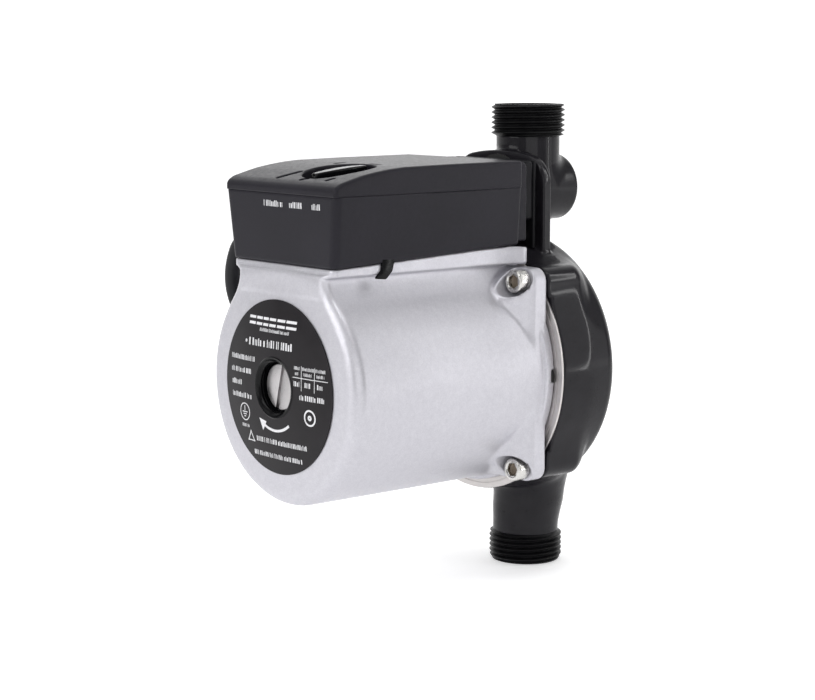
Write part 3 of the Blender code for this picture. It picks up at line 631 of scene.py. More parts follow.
def smooth_table(knots, values, step=0.5, spread=6):
    """Linear knots softened into a curve, as (positions, values)."""
    x = np.arange(knots[0] - 20, knots[-1] + 20, step)
    y = np.interp(x, knots, values)
    k = np.hanning(2 * spread + 3)
    k /= k.sum()
    pad = len(k) // 2
    return x, np.convolve(np.pad(y, pad, 'edge'), k, 'valid')


def skin(name, f, lo, hi, h, rounds=3, smooth=180):
    lo = np.array(lo, float)
    n = np.ceil((np.array(hi, float) - lo) / h).astype(int) + 1
    B = 8
    nb = (n + B - 1) // B
    bi = np.stack(np.meshgrid(*[np.arange(k) for k in nb], indexing='ij'), -1).reshape(-1, 3)
    c = lo + h * (B * bi + (B - 1) / 2)
    fc = f(c[:, 0], c[:, 1], c[:, 2])
    V = fc.reshape(nb)
    for ax in range(3):
        V = np.repeat(V, B, ax)
    V = V.astype(np.float32)
    live = bi[np.abs(fc) < h * B * 1.25 + 1.0]
    off = np.stack(np.meshgrid(*[np.arange(B)] * 3, indexing='ij'), -1).reshape(-1, 3)
    for s in range(0, len(live), 400):
        idx = (live[s:s + 400, None, :] * B + off[None]).reshape(-1, 3)
        p = lo + h * idx
        V[idx[:, 0], idx[:, 1], idx[:, 2]] = f(p[:, 0], p[:, 1], p[:, 2])
    V = V[:n[0], :n[1], :n[2]]
    V[V == 0] = 1e-6
    S = V < 0
    tot = np.zeros(np.array(S.shape) - 1, np.int8)
    corners = [(i, j, k) for i in (0, 1) for j in (0, 1) for k in (0, 1)]
    for i, j, k in corners:
        tot += S[i:S.shape[0] - 1 + i, j:S.shape[1] - 1 + j, k:S.shape[2] - 1 + k]
    act = (tot > 0) & (tot < 8)
    cell = np.argwhere(act)
    index = np.full(act.shape, -1, np.int32)
    index[act] = np.arange(len(cell))
    val = {o: V[cell[:, 0] + o[0], cell[:, 1] + o[1], cell[:, 2] + o[2]].astype(float) for o in corners}
    P, cnt = np.zeros((len(cell), 3)), np.zeros(len(cell))
    for a in corners:
        for ax in range(3):
            if a[ax]:
                continue
            b = list(a)
            b[ax] = 1
            va, vb = val[a], val[tuple(b)]
            hit = (va < 0) != (vb < 0)
            t = va[hit] / (va[hit] - vb[hit])
            q = np.tile(np.array(a, float), (hit.sum(), 1))
            q[:, ax] += t
            P[hit] += q
            cnt[hit] += 1
    P = lo + h * (cell + P / cnt[:, None])
    quads = []
    for ax in range(3):
        b, c2 = (ax + 1) % 3, (ax + 2) % 3
        sl0, sl1 = [slice(1, -1)] * 3, [slice(1, -1)] * 3
        sl0[ax], sl1[ax] = slice(0, -1), slice(1, None)
        s0, s1 = S[tuple(sl0)], S[tuple(sl1)]
        for inside_first in (True, False):
            e = np.argwhere((s0 & ~s1) if inside_first else (~s0 & s1))
            if not len(e):
                continue
            e = e + 1
            e[:, ax] -= 1
            q = []
            for db, dc in ((-1, -1), (0, -1), (0, 0), (-1, 0)):
                cc = e.copy()
                cc[:, b] += db
                cc[:, c2] += dc
                q.append(index[cc[:, 0], cc[:, 1], cc[:, 2]])
            q = np.stack(q, 1)
            quads.append(q if inside_first else q[:, ::-1])
    quads = np.concatenate(quads)
    quads = quads[(quads >= 0).all(1)]
    e = 0.02

    def settle(P, steps):
        for _ in range(steps):
            d = f(P[:, 0], P[:, 1], P[:, 2])
            g = np.stack([f(P[:, 0] + e * (k == 0), P[:, 1] + e * (k == 1), P[:, 2] + e * (k == 2))
                          - f(P[:, 0] - e * (k == 0), P[:, 1] - e * (k == 1), P[:, 2] - e * (k == 2))
                          for k in range(3)], 1) / (2 * e)
            g2 = np.maximum((g * g).sum(1), 0.2)
            step = g * (d / g2)[:, None]
            L = np.linalg.norm(step, axis=1)
            step *= np.minimum(1.0, h * 0.8 / np.maximum(L, 1e-9))[:, None]
            P = P - step
        return P

    P = settle(P, 2)
    a = np.concatenate([quads[:, 0], quads[:, 1], quads[:, 2], quads[:, 3]])
    b = np.concatenate([quads[:, 1], quads[:, 2], quads[:, 3], quads[:, 0]])
    deg = np.maximum(np.bincount(a, minlength=len(P)) + np.bincount(b, minlength=len(P)), 1)
    for _ in range(rounds):
        avg = np.stack([(np.bincount(a, P[b, k], len(P)) + np.bincount(b, P[a, k], len(P))) / deg
                        for k in range(3)], 1)
        P = settle(P + 0.6 * (avg - P), 1)
    P = settle(P, 1)
    return make(name, P, quads, smooth)


# =============================================================================
# pump casting
# =============================================================================
NECK_Z = [12.6, 23.5, 32.0, 40.0, 47.0, 62.0]
NECK = [smooth_table(NECK_Z, v) for v in (
    [0, 0, 0.9, 2.2, 3.4, 4.0], [0, 0, 0.9, 2.2, 2.6, 0.0],
    [15, 15, 16, 17.4, 20.4, 26.0], [15, 15, 14.4, 14.2, 14.4, 15.5])]
LUG_Y = [-33.0, -14.0, -9.0, -1.0]
LUG = [smooth_table(LUG_Y, v, 0.5, 4) for v in ([48.5, 48.5, 46, 34], [46.5, 46.5, 46.5, 44], [7, 7, 9, 12])]
FLOW_SCREWS = [(-18.0, 179.5), (18.0, 179.5), (-18.0, 153.0), (18.0, 153.0)]


def casting(x, y, z):
    w = z - MZ
    r = hyp(x, w)
    # the rim has draft both ways from the mould's parting line
    draft = 0.075 * (np.sqrt((y + 15.0) ** 2 + 6.0) - 2.4)
    d = edge_round(r - 52.1 + draft, y + 4.5, 6.0)
    hx, hz, rr = (np.interp(y, *t) for t in LUG)
    d = smin(d, edge_round(rrect(x, w, hx, hz, rr) + 2.2, y + 3.2, 2.2), 5.0)
    d = smin(d, hyp(x, y - 3, z - np.clip(z, 30, 99)) - 13.6, 7.0)
    cx, cy, a, b = (np.interp(z, *t) for t in NECK)
    neck = (hyp((x - cx) / a, (y - cy) / b) - 1) * np.minimum(a, b)
    d = smin(d, edge_round(neck + 7.0, z - 66 + 7.0, 7.0), 7.0)
    d = smax(d, 12.9 - z, 0.5)
    riser = np.maximum(hyp(x, y) - 10, np.abs(z - 143) - 23)
    d = smin(d, riser, 5.0)
    d = smin(d, rcyl(x, z - 172, y, 15, -17, 18, 1.6), 3.0)
    d = smin(d, np.maximum(hyp(x, y) - 14.3, np.abs(z - 184.5) - 11.8), 3.0)
    zt = z + x * x / 200
    d = smin(d, slab(rrect(x, zt - 163.75, 29, 25.75, 10), y, -17.8, -13.0, 0.9), 1.8)
    # the joint face, stepped back where the bearing plate sits
    d = smax(d, -33.0 - y, 0.7)
    d = smax(d, -np.maximum(r - 58.8, y + 31.5), 0.5)
    d = smax(d, -np.maximum(np.abs(r - 49.2) - 2.2, y + 28.9), 0.3)
    hollow = np.minimum(np.maximum(r - 45, y + 13), np.maximum(r - 9.6, np.abs(y + 6.5) - 9.5))
    hollow = np.minimum(hollow, np.maximum(r - 14.4, np.abs(y + 12.65) - 3.35))
    hollow = np.minimum(hollow, np.maximum(hyp(x, y) - 12, z - 30))
    hollow = np.minimum(hollow, hyp(x, y - 3, z - np.clip(z, 32, 98)) - 10)
    hollow = np.minimum(hollow, np.maximum(np.maximum(np.abs(x) - 6, np.abs(y + 10) - 15), np.abs(z - 132.75) - 5.75))
    hollow = np.minimum(hollow, np.maximum(hyp(x, y) - 6.8, np.abs(z - 149) - 16))
    hollow = np.minimum(hollow, np.maximum(hyp(x, z - 172) - 11.5, y - 14.5))
    hollow = np.minimum(hollow, np.maximum(hyp(x, y) - 12, 173 - z))
    d = smax(d, -hollow, 0.5)
    posts = np.maximum(hyp(np.abs(x) - 41, np.abs(w) - 41) - 3.3, y + 18)
    for sx, sz in FLOW_SCREWS:
        posts = np.minimum(posts, np.maximum(hyp(x - sx, z - sz) - 1.9, y + 10))
    return smax(d, -posts, 0.4)


body = skin("pump_casting", casting, (-60, -35, 9), (60, 20, 200), 0.78)
finish_piece(body, "cast", "pump_body", ["pump_housing"])

PITCH_T, CREST, ROOT = 2.309, 16.62, 15.15
VIEW_ANGLE = math.radians(-40.1)


def threaded_port(name, end_z, up, first, end_r, chamfer, length, crests, neck_r):
    """A right-hand pipe thread on a tube. up is +1 when the pipe end is at
    the bottom. first is the first crest's height from the end at VIEW_ANGLE."""
    seg, step = 176, 0.155
    th = np.arange(seg) * 2 * math.pi / seg
    h = np.arange(0, length + 1e-6, step)
    T, H = np.meshgrid(th, h)
    phase = (H - first) / PITCH_T - up * (T - VIEW_ANGLE) / (2 * math.pi)
    tri = 1 - np.abs(2 * (phase % 1.0) - 1)            # 1 at half pitch, 0 at a crest
    tri = 1 - tri
    wave = 0.5 + 0.5 * np.sin(math.pi * np.clip((tri - 0.5) * 1.12, -0.5, 0.5))
    wave = 0.6 * wave + 0.4 * np.clip((tri - 0.5) * 1.25 + 0.5, 0, 1)
    last = first + (crests - 0.45) * PITCH_T
    fade = np.clip((H - last) / 1.1, 0, 1)
    fade = fade * fade * (3 - 2 * fade)
    base = ROOT + (neck_r - ROOT) * fade
    R = base + (CREST - ROOT) * wave * (1 - fade)
    wear = 0.035 * np.sin(5 * T + 1.3 * end_z) * np.sin(2 * T + 0.7)
    R = np.minimum(R + wear * wave, end_r + chamfer * H)
    rows = [(T[0], R[i], H[i]) for i in range(len(h))]
    flat = np.ones(seg)
    rows += [(th, flat * 12.0, flat * length), (th, flat * 12.0, flat * 0.9), (th, flat * 12.7, flat * 0.12),
             (th, flat * 12.9, flat * 0.0), (th, flat * (end_r - 0.25), flat * 0.0)]
    v = np.concatenate([np.stack([q * np.cos(t), q * np.sin(t), end_z + up * k], 1) for t, q, k in rows])
    return recalc(make(name, v, grid_faces(len(rows), seg, wrap_rows=True), 50))


inlet = threaded_port("inlet_thread", 0.0, 1, 2.2, 15.3, 0.62, 14.4, 5, 14.7)
outlet = threaded_port("outlet_thread", 210.0, -1, 0.9, 15.9, 0.8, 15.6, 6, 14.0)
for o in (inlet, outlet):
    finish_piece(o, "thread", "pump_body", ["pump_housing"])


# =============================================================================
# motor housing
# =============================================================================
SHELL_LUG_Y = [-62.0, -51.0, -44.0, -41.0, -34.2]
SHELL_LUG = [smooth_table(SHELL_LUG_Y, v, 0.5, 1) for v in
             ([34, 41, 47, 48.5, 48.5], [33, 39.5, 45, 46.5, 46.5], [12, 9, 7, 6, 6])]
DOME = smooth_table([0, 13, 25, 37.2, 44.5, 60], [3.05, 2.85, 2.2, 0.55, 0.05, 0.0], 0.5, 3)
FLARE = smooth_table([112, 140.4, 141.6, 142.6], [29.5, 29.5, 29.9, 32.0], 0.25, 1)


def motor_shell(x, y, z):
    w = z - MZ
    r = hyp(x, w)
    front = -y - 141.0 - np.interp(r, *DOME)
    neck = np.maximum(np.abs(x + 0.4) - 29.6, np.maximum(110 - z, z - 142.8))
    side = smin(r - 50.5, neck, 7.0)
    e = np.interp(z, [100, 122, 138], [6.0, 6.0, 3.6])
    d = np.maximum(edge_round(side + e, front + e, e), y + 33.0)
    d = np.where(z > MZ + 46, np.maximum(d, y + 34.4), d)
    d = smin(d, rcyl(x, w, y, 52.3, -37.3, -32.8, 0.6), 1.2)
    hx, hz, rr = (np.interp(y, *t) for t in SHELL_LUG)
    lug = slab(rrect(x, w, hx, hz, rr), y, -62.0, -34.2, 0.6)
    d = smin(d, lug, 1.6)
    hw = np.interp(z, *FLARE)
    flare = slab(rrect(x, y + 87.7, hw, 53.3, 3.6), z, 134.0, 143.4, 0.3)
    d = smin(d, flare, 1.0)
    # the rim that the terminal box stands on, wider over the rear lugs
    low = 142.8 - 0.006 * (y + 139.2)
    high = np.interp(y, [-140, -60, -44, -40, -34], [145.9, 149.6, 150.0, 149.9, 149.2])
    wide = 34.5 + 3.4 * np.clip((y + 56) / 18, 0, 1) ** 2
    lip = edge_round(rrect(x, y + 87.1, wide, 52.7, 3.0) + 0.5, np.maximum(low - z, z - high) + 0.5, 0.5)
    d = smin(d, lip, 0.8)
    d = smax(d, -np.maximum(r - 46.5, -134.5 - y), 0.4)
    d = smax(d, -np.maximum(r - 12.6, y + 136.0), 0.6)
    d = smax(d, -np.maximum(r - 8.4, y + 130.0), 0.4)
    ax, aw = np.abs(x), np.abs(w)
    d = smax(d, -np.maximum(hyp(ax - 41, aw - 41) - 6.4, y + 41.0), 0.7)
    d = smax(d, -(hyp(ax - 41, aw - 41) - 3.4), 0.3)
    d = smax(d, -np.maximum(hyp(x, y + 108) - 8.4, 130 - z), 0.4)
    d = smax(d, -np.maximum(hyp(ax - 26, y + 70) - 2.3, 141 - z), 0.3)
    d = smax(d, -np.maximum(hyp(x + 24, y + 127) - 2.3, 141 - z), 0.3)
    drain = np.maximum(np.maximum(48 - x, aw - 2.8), -34.5 - y)
    return smax(d, -drain, 0.5)


shell = skin("motor_shell", motor_shell, (-54, -147, 40), (54, -31, 153), 0.78)
finish_piece(shell, "silver", "pump_body", ["motor_housing"])

# a black rubber block set in the drain notch paints the shade seen in the notch; it stands for shade, not a real seal
notch_shade_block = prism("drain_notch_painted_shade", [(48.5, MZ - 2.5), (51.9, MZ - 2.5), (51.9, MZ + 2.5), (48.5, MZ + 2.5)],
             'Y', -34.3, -32.75, 0.3, 2)
finish_piece(notch_shade_block, "rubber", "pump_body")

plate = lathe("bearing_plate_disc", rounded_profile(
    [(11.4, -46), (13, -46), (13, -32.6), (53.9, -32.5), (54.0, -32.2), (54.35, -32.2), (54.45, -32.45),
     (56.8, -32.4), (56.8, -31.35), (11.4, -31.35)],
    [0, 0.4, 1.0, 0, 0, 0, 0, 0.3, 0.3, 0], 4), (0, 0, MZ), 'Y', 200)
apply_boolean(plate, [tool(lathe(f"t_scallop_{i}", [(0, -36), (4.2, -36), (4.2, -28), (0, -28)],
                                 (sx * PITCH, 0, MZ + sz * PITCH), 'Y', 40))
                      for i, (sx, sz) in enumerate(((-1, -1), (1, -1), (-1, 1), (1, 1)))])
finish_piece(plate, "ring", "pump_body", ["bearing_plate"])

for i, (sx, sz) in enumerate(((-1, 1), (1, 1), (-1, -1), (1, -1)), 1):
    at = (sx * PITCH, 0, MZ + sz * PITCH)
    head = lathe(f"motor_bolt_{i}", rounded_profile(
        [(0, -47.3), (5.0, -47.3), (5.0, -41.3), (3.0, -41.3), (3.0, -19.5), (0, -19.5)],
        [0, 0.9, 0.2, 0, 0.4, 0], 5), at, 'Y', 72)
    hexagon = [(3.2 * math.cos(math.radians(60 * k + 17 * i)), MZ + sz * PITCH + 3.2 * math.sin(math.radians(60 * k + 17 * i)))
               for k in range(6)]
    hexagon = [(x + sx * PITCH, z) for x, z in hexagon]
    cone = lathe(f"t_cone_{i}", [(0, -48.5), (3.75, -48.5), (3.75, -47.35), (3.1, -46.8), (0, -46.8)], at, 'Y', 48)
    apply_boolean(head, [tool(prism(f"t_hex_{i}", hexagon, 'Y', -50.0, -44.4)), tool(cone)])
    finish_piece(head, "steel", "pump_body", [f"motor_screw_{i}"])
    grime = lathe(f"motor_bolt_recess_{i}", [(0, -44.9), (2.0, -44.85), (2.7, -45.5), (2.74, -45.5), (2.74, -44.45), (0, -44.45)],
                  at, 'Y', 36)
    finish_piece(grime, "socket", "pump_body")

# =============================================================================
# name plate, its marks, and the vent plug
# =============================================================================
LABEL_R = smooth_table([0, 13.2, 25.0, 36.8, 40], [-144.3, -144.15, -143.5, -141.9, -141.3], 0.25, 4)


def label_y(r):
    return np.interp(r, *LABEL_R) - 0.35


edge = [(r, float(np.interp(r, *LABEL_R))) for r in (12.75, 19, 25, 31, 36.8)]
top = [(r, y - 0.35) for r, y in reversed(edge)]
top = [(36.8, top[0][1] + 0.12), (36.68, top[0][1])] + top[1:-1] + [(12.87, top[-1][1]), (12.75, top[-1][1] + 0.12)]
disc = lathe("label_disc", edge + top, (0, 0, MZ), 'Y', 200, 25)
finish_piece(disc, "label", "pump_body", ["nameplate"])


class Marks:
    """Thin printed shapes laid on a surface; shapes are (u, v) outlines."""

    def __init__(self):
        self.v, self.f = [], []

    def add(self, outline, place, thick=0.05, fine=1.6):
        pts = []
        n = len(outline)
        for i, (u, v) in enumerate(outline):
            u2, v2 = outline[(i + 1) % n]
            k = max(1, int(math.hypot(u2 - u, v2 - v) / fine))
            pts += [(u + (u2 - u) * j / k, v + (v2 - v) * j / k) for j in range(k)]
        start, m = len(self.v), len(pts)
        self.v += [place(u, v, 0.0) for u, v in pts] + [place(u, v, thick) for u, v in pts]
        self.f += [tuple(start + m + k for k in range(m)), tuple(start + m - 1 - k for k in range(m))]
        self.f += [(start + k, start + (k + 1) % m, start + m + (k + 1) % m, start + m + k) for k in range(m)]

    def bar(self, u0, v0, u1, v1, place, slant=0.0):
        u0, u1 = min(u0, u1), max(u0, u1)
        # long bars go down in short lengths, so that they follow a curved face
        k = max(1, int(math.ceil((u1 - u0) / 6.0)))
        s = slant * (v1 - v0)
        for i in range(k):
            a, b = u0 + (u1 - u0) * i / k, u0 + (u1 - u0) * (i + 1) / k
            self.add([(a, v0), (b, v0), (b + s, v1), (a + s, v1)], place)

    def row(self, u0, u1, v0, v1, place, seed, weight=0.62, slant=0.0):
        """A line of greeked print: plain blocks of uneven width, no letters."""
        rng = np.random.default_rng(seed)
        h = v1 - v0
        u = u0
        while u < u1 - 0.2 * h:
            wide = h * rng.choice([0.13, 0.17, 0.3])
            wide = min(wide, u1 - u)
            rise = 0.0 if rng.random() < 0.72 else 0.2 * h
            s = slant * h
            self.add([(u, v0), (u + wide, v0), (u + wide + s, v1 - rise), (u + s, v1 - rise)], place)
            u += wide + h * rng.choice([0.2, 0.26, 0.5], p=[0.45, 0.4, 0.15])

    def ring(self, cu, cv, r, w, place, a0=0.0, a1=360.0, n=40):
        k = max(3, int(n * abs(a1 - a0) / 360))
        for i in range(k):
            p, q = (math.radians(a0 + (a1 - a0) * j / k) for j in (i, i + 1))
            self.add([(cu + (r - w / 2) * math.cos(p), cv + (r - w / 2) * math.sin(p)),
                      (cu + (r + w / 2) * math.cos(p), cv + (r + w / 2) * math.sin(p)),
                      (cu + (r + w / 2) * math.cos(q), cv + (r + w / 2) * math.sin(q)),
                      (cu + (r - w / 2) * math.cos(q), cv + (r - w / 2) * math.sin(q))], place)

    def build(self, name):
        return recalc(make(name, np.array(self.v), self.f, 30))


def on_label(u, v, up):
    r = math.hypot(u, v)
    return (u, float(label_y(r)) + 0.012 - up, MZ + v)


marks = Marks()
# heading: a plain bold band of blocks, and a small one under it
for k, (u, wide) in enumerate(((-18.6, 4.6), (-13.2, 4.2), (-8.2, 3.6), (-3.8, 4.4), (1.6, 5.2), (7.6, 6.6))):
    for v in (25.3, 27.8):
        marks.bar(u, v, u + wide, v + 1.15, on_label, 0.12)
marks.row(-10.3, 10.2, 22.9, 24.3, on_label, 3, slant=0.1)
marks.row(-17.9, 13.2, 16.4, 19.6, on_label, 4)
marks.ring(-20.2, 17.9, 0.45, 0.5, on_label, n=10)
for seed, (u0, u1, v0, v1) in enumerate(((-32, -13.4, 9.4, 11.5), (-31.8, -15.8, 3.9, 6.0), (-31.3, -23.6, -1.5, 0.7),
                                         (-31.2, -15.4, -6.9, -4.7)), 11):
    marks.row(u0, u1, v0, v1, on_label, seed)
# earthed-case ring: a bar with three shorter ones under it
marks.ring(-21.4, -12.8, 3.6, 0.42, on_label)
marks.bar(-21.6, -12.4, -21.2, -10.2, on_label)
for k, half in enumerate((1.9, 1.25, 0.6)):
    marks.bar(-21.4 - half, -13.0 - 0.95 * k, -21.4 + half, -12.6 - 0.95 * k, on_label)
marks.row(-24.2, -18.6, -19.3, -17.9, on_label, 21)
# rating table
marks.bar(13.2, 6.0, 34.2, 6.3, on_label)
for u in (18.6, 26.6):
    marks.bar(u - 0.13, 0.9, u + 0.13, 11.2, on_label)
for k, (u0, u1) in enumerate(((14.0, 17.6), (19.3, 26.0), (27.2, 33.0))):
    marks.row(u0, u1, 9.4, 10.8, on_label, 31 + k)
    marks.row(u0 + 0.6, u1 - 0.6, 7.2, 8.5, on_label, 41 + k)
    marks.row((u0 + u1) / 2 - 1.9, (u0 + u1) / 2 + 1.9, 2.5, 4.6, on_label, 51 + k)
marks.row(17.4, 32.2, -2.9, -0.7, on_label, 61)
# a plain ringed dot
marks.ring(23.6, -9.8, 3.1, 0.75, on_label)
marks.ring(23.6, -9.8, 0.7, 0.9, on_label, n=16)
# turning direction
c_arrow = (0.3, -1.9)
marks.ring(c_arrow[0], c_arrow[1], 16.2, 1.1, on_label, 307, 240, 90)
marks.add([(-10.4, -13.9), (-5.4, -14.9), (-8.0, -18.9)], on_label, fine=1.0)
# plain triangle outline and two lines of small print
for a, b in (((-20.2, -24.8), (-14.9, -24.8)), ((-14.9, -24.8), (-17.55, -20.2)), ((-17.55, -20.2), (-20.2, -24.8))):
    dx, dz = b[0] - a[0], b[1] - a[1]
    L = math.hypot(dx, dz)
    ox, oz = -dz / L * 0.45, dx / L * 0.45
    marks.add([a, b, (b[0] + ox, b[1] + oz), (a[0] + ox, a[1] + oz)], on_label)
marks.row(-13.2, 21.4, -24.1, -22.0, on_label, 71)
marks.row(-16.0, 17.6, -30.2, -28.2, on_label, 72)
prints = marks.build("label_marks")
finish_piece(prints, "print", "pump_body")

# the socket behind the vent plug: a black liner with a few turned ridges
liner = [(12.5, -143.9), (13.15, -144.55), (12.7, -144.8), (12.0, -144.65), (11.6, -144.0)]
for k in range(6):
    y = -143.4 + 1.2 * k
    liner += [(10.9, y), (10.9, y + 0.35), (11.6, y + 0.75), (11.6, y + 1.0)]
liner += [(11.6, -136.15), (12.45, -136.15)]
finish_piece(lathe("vent_socket_liner", liner, (0, 0, MZ), 'Y', 96, 40), "knob", "pump_body")

plug = lathe("vent_plug_turned", rounded_profile(
    [(0, -141.0), (9.9, -141.0), (9.9, -137.9), (8.0, -137.9), (8.0, -131.0), (0, -131.0)],
    [0, 0.55, 0.25, 0, 0.5, 0], 4), (0, 0, MZ), 'Y', 120)
cut = block("t_slot", (-1.05, -3.0, -12), (1.05, 1.5, 12))
turn(cut, Matrix.Translation(Vector((0, -141.2, MZ)) * MM) @ Matrix.Rotation(math.radians(14), 4, 'Y'))
apply_boolean(plug, [tool(cut)])
bevel(plug, 0.16, 2, 50)
finish_piece(plug, "plug", "vent_plug", ["vent_plug"])


# =============================================================================
# terminal box
# =============================================================================
LID_TOP = smooth_table([-151.3, -141.1, -138.2, -132.5, -125.5, -118.5, -112.0, -104.0, -80.0, -38.6, -20],
                       [172.2, 178.8, 180.9, 182.4, 184.1, 185.2, 186.0, 186.6, 186.9, 187.0, 187.0], 0.5, 5)
CT, ST = math.cos(KNOB_TILT), math.sin(KNOB_TILT)


def knob_local(x, y, z):
    """The selector's own coordinates: u across, v along, w up."""
    u, dy, dz = x - KNOB[0], y - KNOB[1], z - KNOB[2]
    return u, CT * dy + ST * dz, -ST * dy + CT * dz


def knob_world(u, v, w):
    return KNOB[0] + u, KNOB[1] + CT * v - ST * w, KNOB[2] + ST * v + CT * w


def lid_form(x, y, z, inset, e):
    top = z - np.interp(y, *LID_TOP) + inset
    a = np.abs(x) - 37.9 + inset
    b = np.maximum(-141.1 + inset - y, y + 38.6 + inset)
    q = [np.maximum(k + e, 0) for k in (a, b, top)]
    return np.minimum(np.maximum(np.maximum(a, b), top) + e, 0) + hyp(*q) - e


def lid(x, y, z):
    outer = lid_form(x, y, z, 0.0, 1.5)
    outer = smax(outer, PART_Z - 0.14 - z, 0.2)
    u, v, w = knob_local(x, y, z)
    r = hyp(u, v)
    inner = np.maximum(lid_form(x, y, z, 2.3, 0.8), -(r - 17.1))
    d = smax(outer, -inner, 0.4)
    cup = np.maximum(r - 17.1, np.maximum(-2.1 - w, w - 2.6))
    d = smin(d, cup, 0.4)
    d = smax(d, -np.maximum(r - 15.6, -0.3 - w), 0.7)
    depth = np.interp(y, *LID_TOP) - 1.1 - z
    for (x0, y0), (x1, y1), wide in TICKS:
        t = np.clip(((x - x0) * (x1 - x0) + (y - y0) * (y1 - y0)) / ((x1 - x0) ** 2 + (y1 - y0) ** 2), 0, 1)
        line = hyp(x - x0 - t * (x1 - x0), y - y0 - t * (y1 - y0)) - wide / 2
        d = smax(d, -np.maximum(line, depth), 0.25)
    return smax(d, -(r - 4.4), 0.4)


# grooves moulded round the selector: ends and width
TICKS = [((-6.7, -135.4), (-3.9, -127.4), 3.1), ((9.5, -136.0), (11.3, -134.2), 2.8),
         ((24.9, -134.9), (25.7, -132.8), 2.3), ((-5.2, -106.7), (-5.1, -103.1), 2.3),
         ((11.0, -100.6), (17.2, -101.3), 1.7)]
lid_obj = skin("terminal_lid", lid, (-40, -143.5, 173), (40, -36, 189), 0.46)
finish_piece(lid_obj, "charcoal", "pump_body", ["terminal_box_lid"])


def base_plan(x, y, z, shrink):
    t = (z - 149.3) / 26.0
    f = (y + 138.0) / 99.0
    if shrink:
        t = (z - 149.2) / 30.3
        hx = (31.2 + 4.5 * t) * (1 - f) + (32.2 + 3.0 * t) * f
        y0, y1 = -133.9 - 3.5 * t, -42.0 + 0.8 * t
        rad = 3.0
    else:
        hx = (35.3 + 2.9 * t) * (1 - f) + (35.8 + 1.7 * t) * f
        y0, y1 = -140.1 - 1.0 * t, -38.6 + 0 * t
        rad = np.interp(y, [-130, -60], [3.2, 1.6])
    return rrect(x, y - (y0 + y1) / 2, hx, (y1 - y0) / 2, rad)


def box_base(x, y, z):
    floor = 146.25 + (y + 137.3) / 98.7 * 4.4
    d = edge_round(base_plan(x, y, z, False) + 1.0, floor - z + 1.0, 1.0)
    d = smax(d, z - (PART_Z + 0.14), 0.2)
    low = edge_round(rrect(x, y + 35.5, 30.5, 6.5, 1.2) + 0.8, np.abs(z - 163.3) - 11.1, 0.8)
    high = edge_round(rrect(x, z - 176, 30.5, 10.0, 3.0) + 1.2, np.abs(y + 33.55) - 3.35, 1.2)
    hood = smin(low, high, 0.6)
    d = smin(d, hood, 0.8)
    tray = edge_round(base_plan(x, y, z, True) + 1.5, floor + 2.6 - z + 1.5, 1.5)
    d = smax(d, -tray, 0.5)
    d = smax(d, -np.maximum(np.maximum(np.abs(x) - 27, np.abs(y + 38.2) - 6.8), np.abs(z - 164) - 7), 0.4)
    d = smax(d, -np.maximum(hyp(x, y + 108) - 8.4, z - 156), 0.4)
    d = smax(d, -np.maximum(hyp(y + 118, z - 156.6) - 5.6, x + 28), 0.4)
    d = smax(d, -np.maximum(hyp(np.abs(x) - 26, y + 70) - 2.3, z - 158), 0.3)
    return smax(d, -np.maximum(hyp(x + 24, y + 127) - 2.3, z - 156), 0.3)


base_obj = skin("terminal_base", box_base, (-41, -144.5, 144), (41, -26, 189), 0.68)
hook = prism("terminal_base_hook", rounded_profile(
    [(-114.9, 150.5), (-114.9, 148.0), (-115.3, 144.4), (-118.7, 141.2), (-112.7, 140.6), (-109.4, 143.9),
     (-108.4, 147.5), (-108.4, 150.5)], [0, 0, 1.2, 0.5, 1.6, 2.0, 0, 0], 4), 'X', 34.3, 35.38, 0.2, 2)
finish_piece(base_obj, "charcoal", "pump_body", ["terminal_box_base"])
finish_piece(hook, "knob", "pump_body", ["terminal_box_base"])


# three plain marks on the box's front, one for each selector position
def on_front(u, v, up):
    t = (v - 149.3) / 26.0
    return (u, -140.1 - 1.0 * t - 0.012 - up, v)


symbols = Marks()
symbols.row(-10.6, 2.4, 169.8, 172.3, on_front, 81)
symbols.row(6.9, 15.8, 169.8, 172.3, on_front, 84)
symbols.row(22.1, 28.8, 169.8, 172.3, on_front, 87)
finish_piece(symbols.build("box_marks"), "print", "pump_body")


# =============================================================================
# selector
# =============================================================================
def knob(x, y, z):
    u, v, w = knob_local(x, y, z)
    r = hyp(u, v)
    d = edge_round(r - 14.7 + 0.7, np.abs(w - 1.25) - 0.55, 0.7)
    # finger bar: a boat shape, arched along its length
    half = 3.1 - 1.5 * np.clip(np.abs(v) / 13.6, 0, 1) ** 2
    crown = 8.15 - 0.45 * (v / 13.2) ** 2
    bar = edge_round(edge_round(np.abs(u) - half + 0.6, np.abs(v) - 13.0, 0.6) + 0.7,
                     np.maximum(w - crown, 0.5 - w) + 0.7, 0.7)
    d = smin(d, bar, 0.9)
    d = smin(d, np.maximum(r - 4.0, np.abs(w + 0.6) - 2.1), 0.3)
    # a shallow pointer groove in the bar's front end
    groove = np.maximum(hyp(u, w - 6.9) - 0.55, v + 5.0)
    return smax(d, -groove, 0.3)


knob_obj = skin("selector_knob", knob, (-4, -134, 170), (28, -101, 189), 0.42)
finish_piece(knob_obj, "knob", "selector", ["mode_selector_knob"])

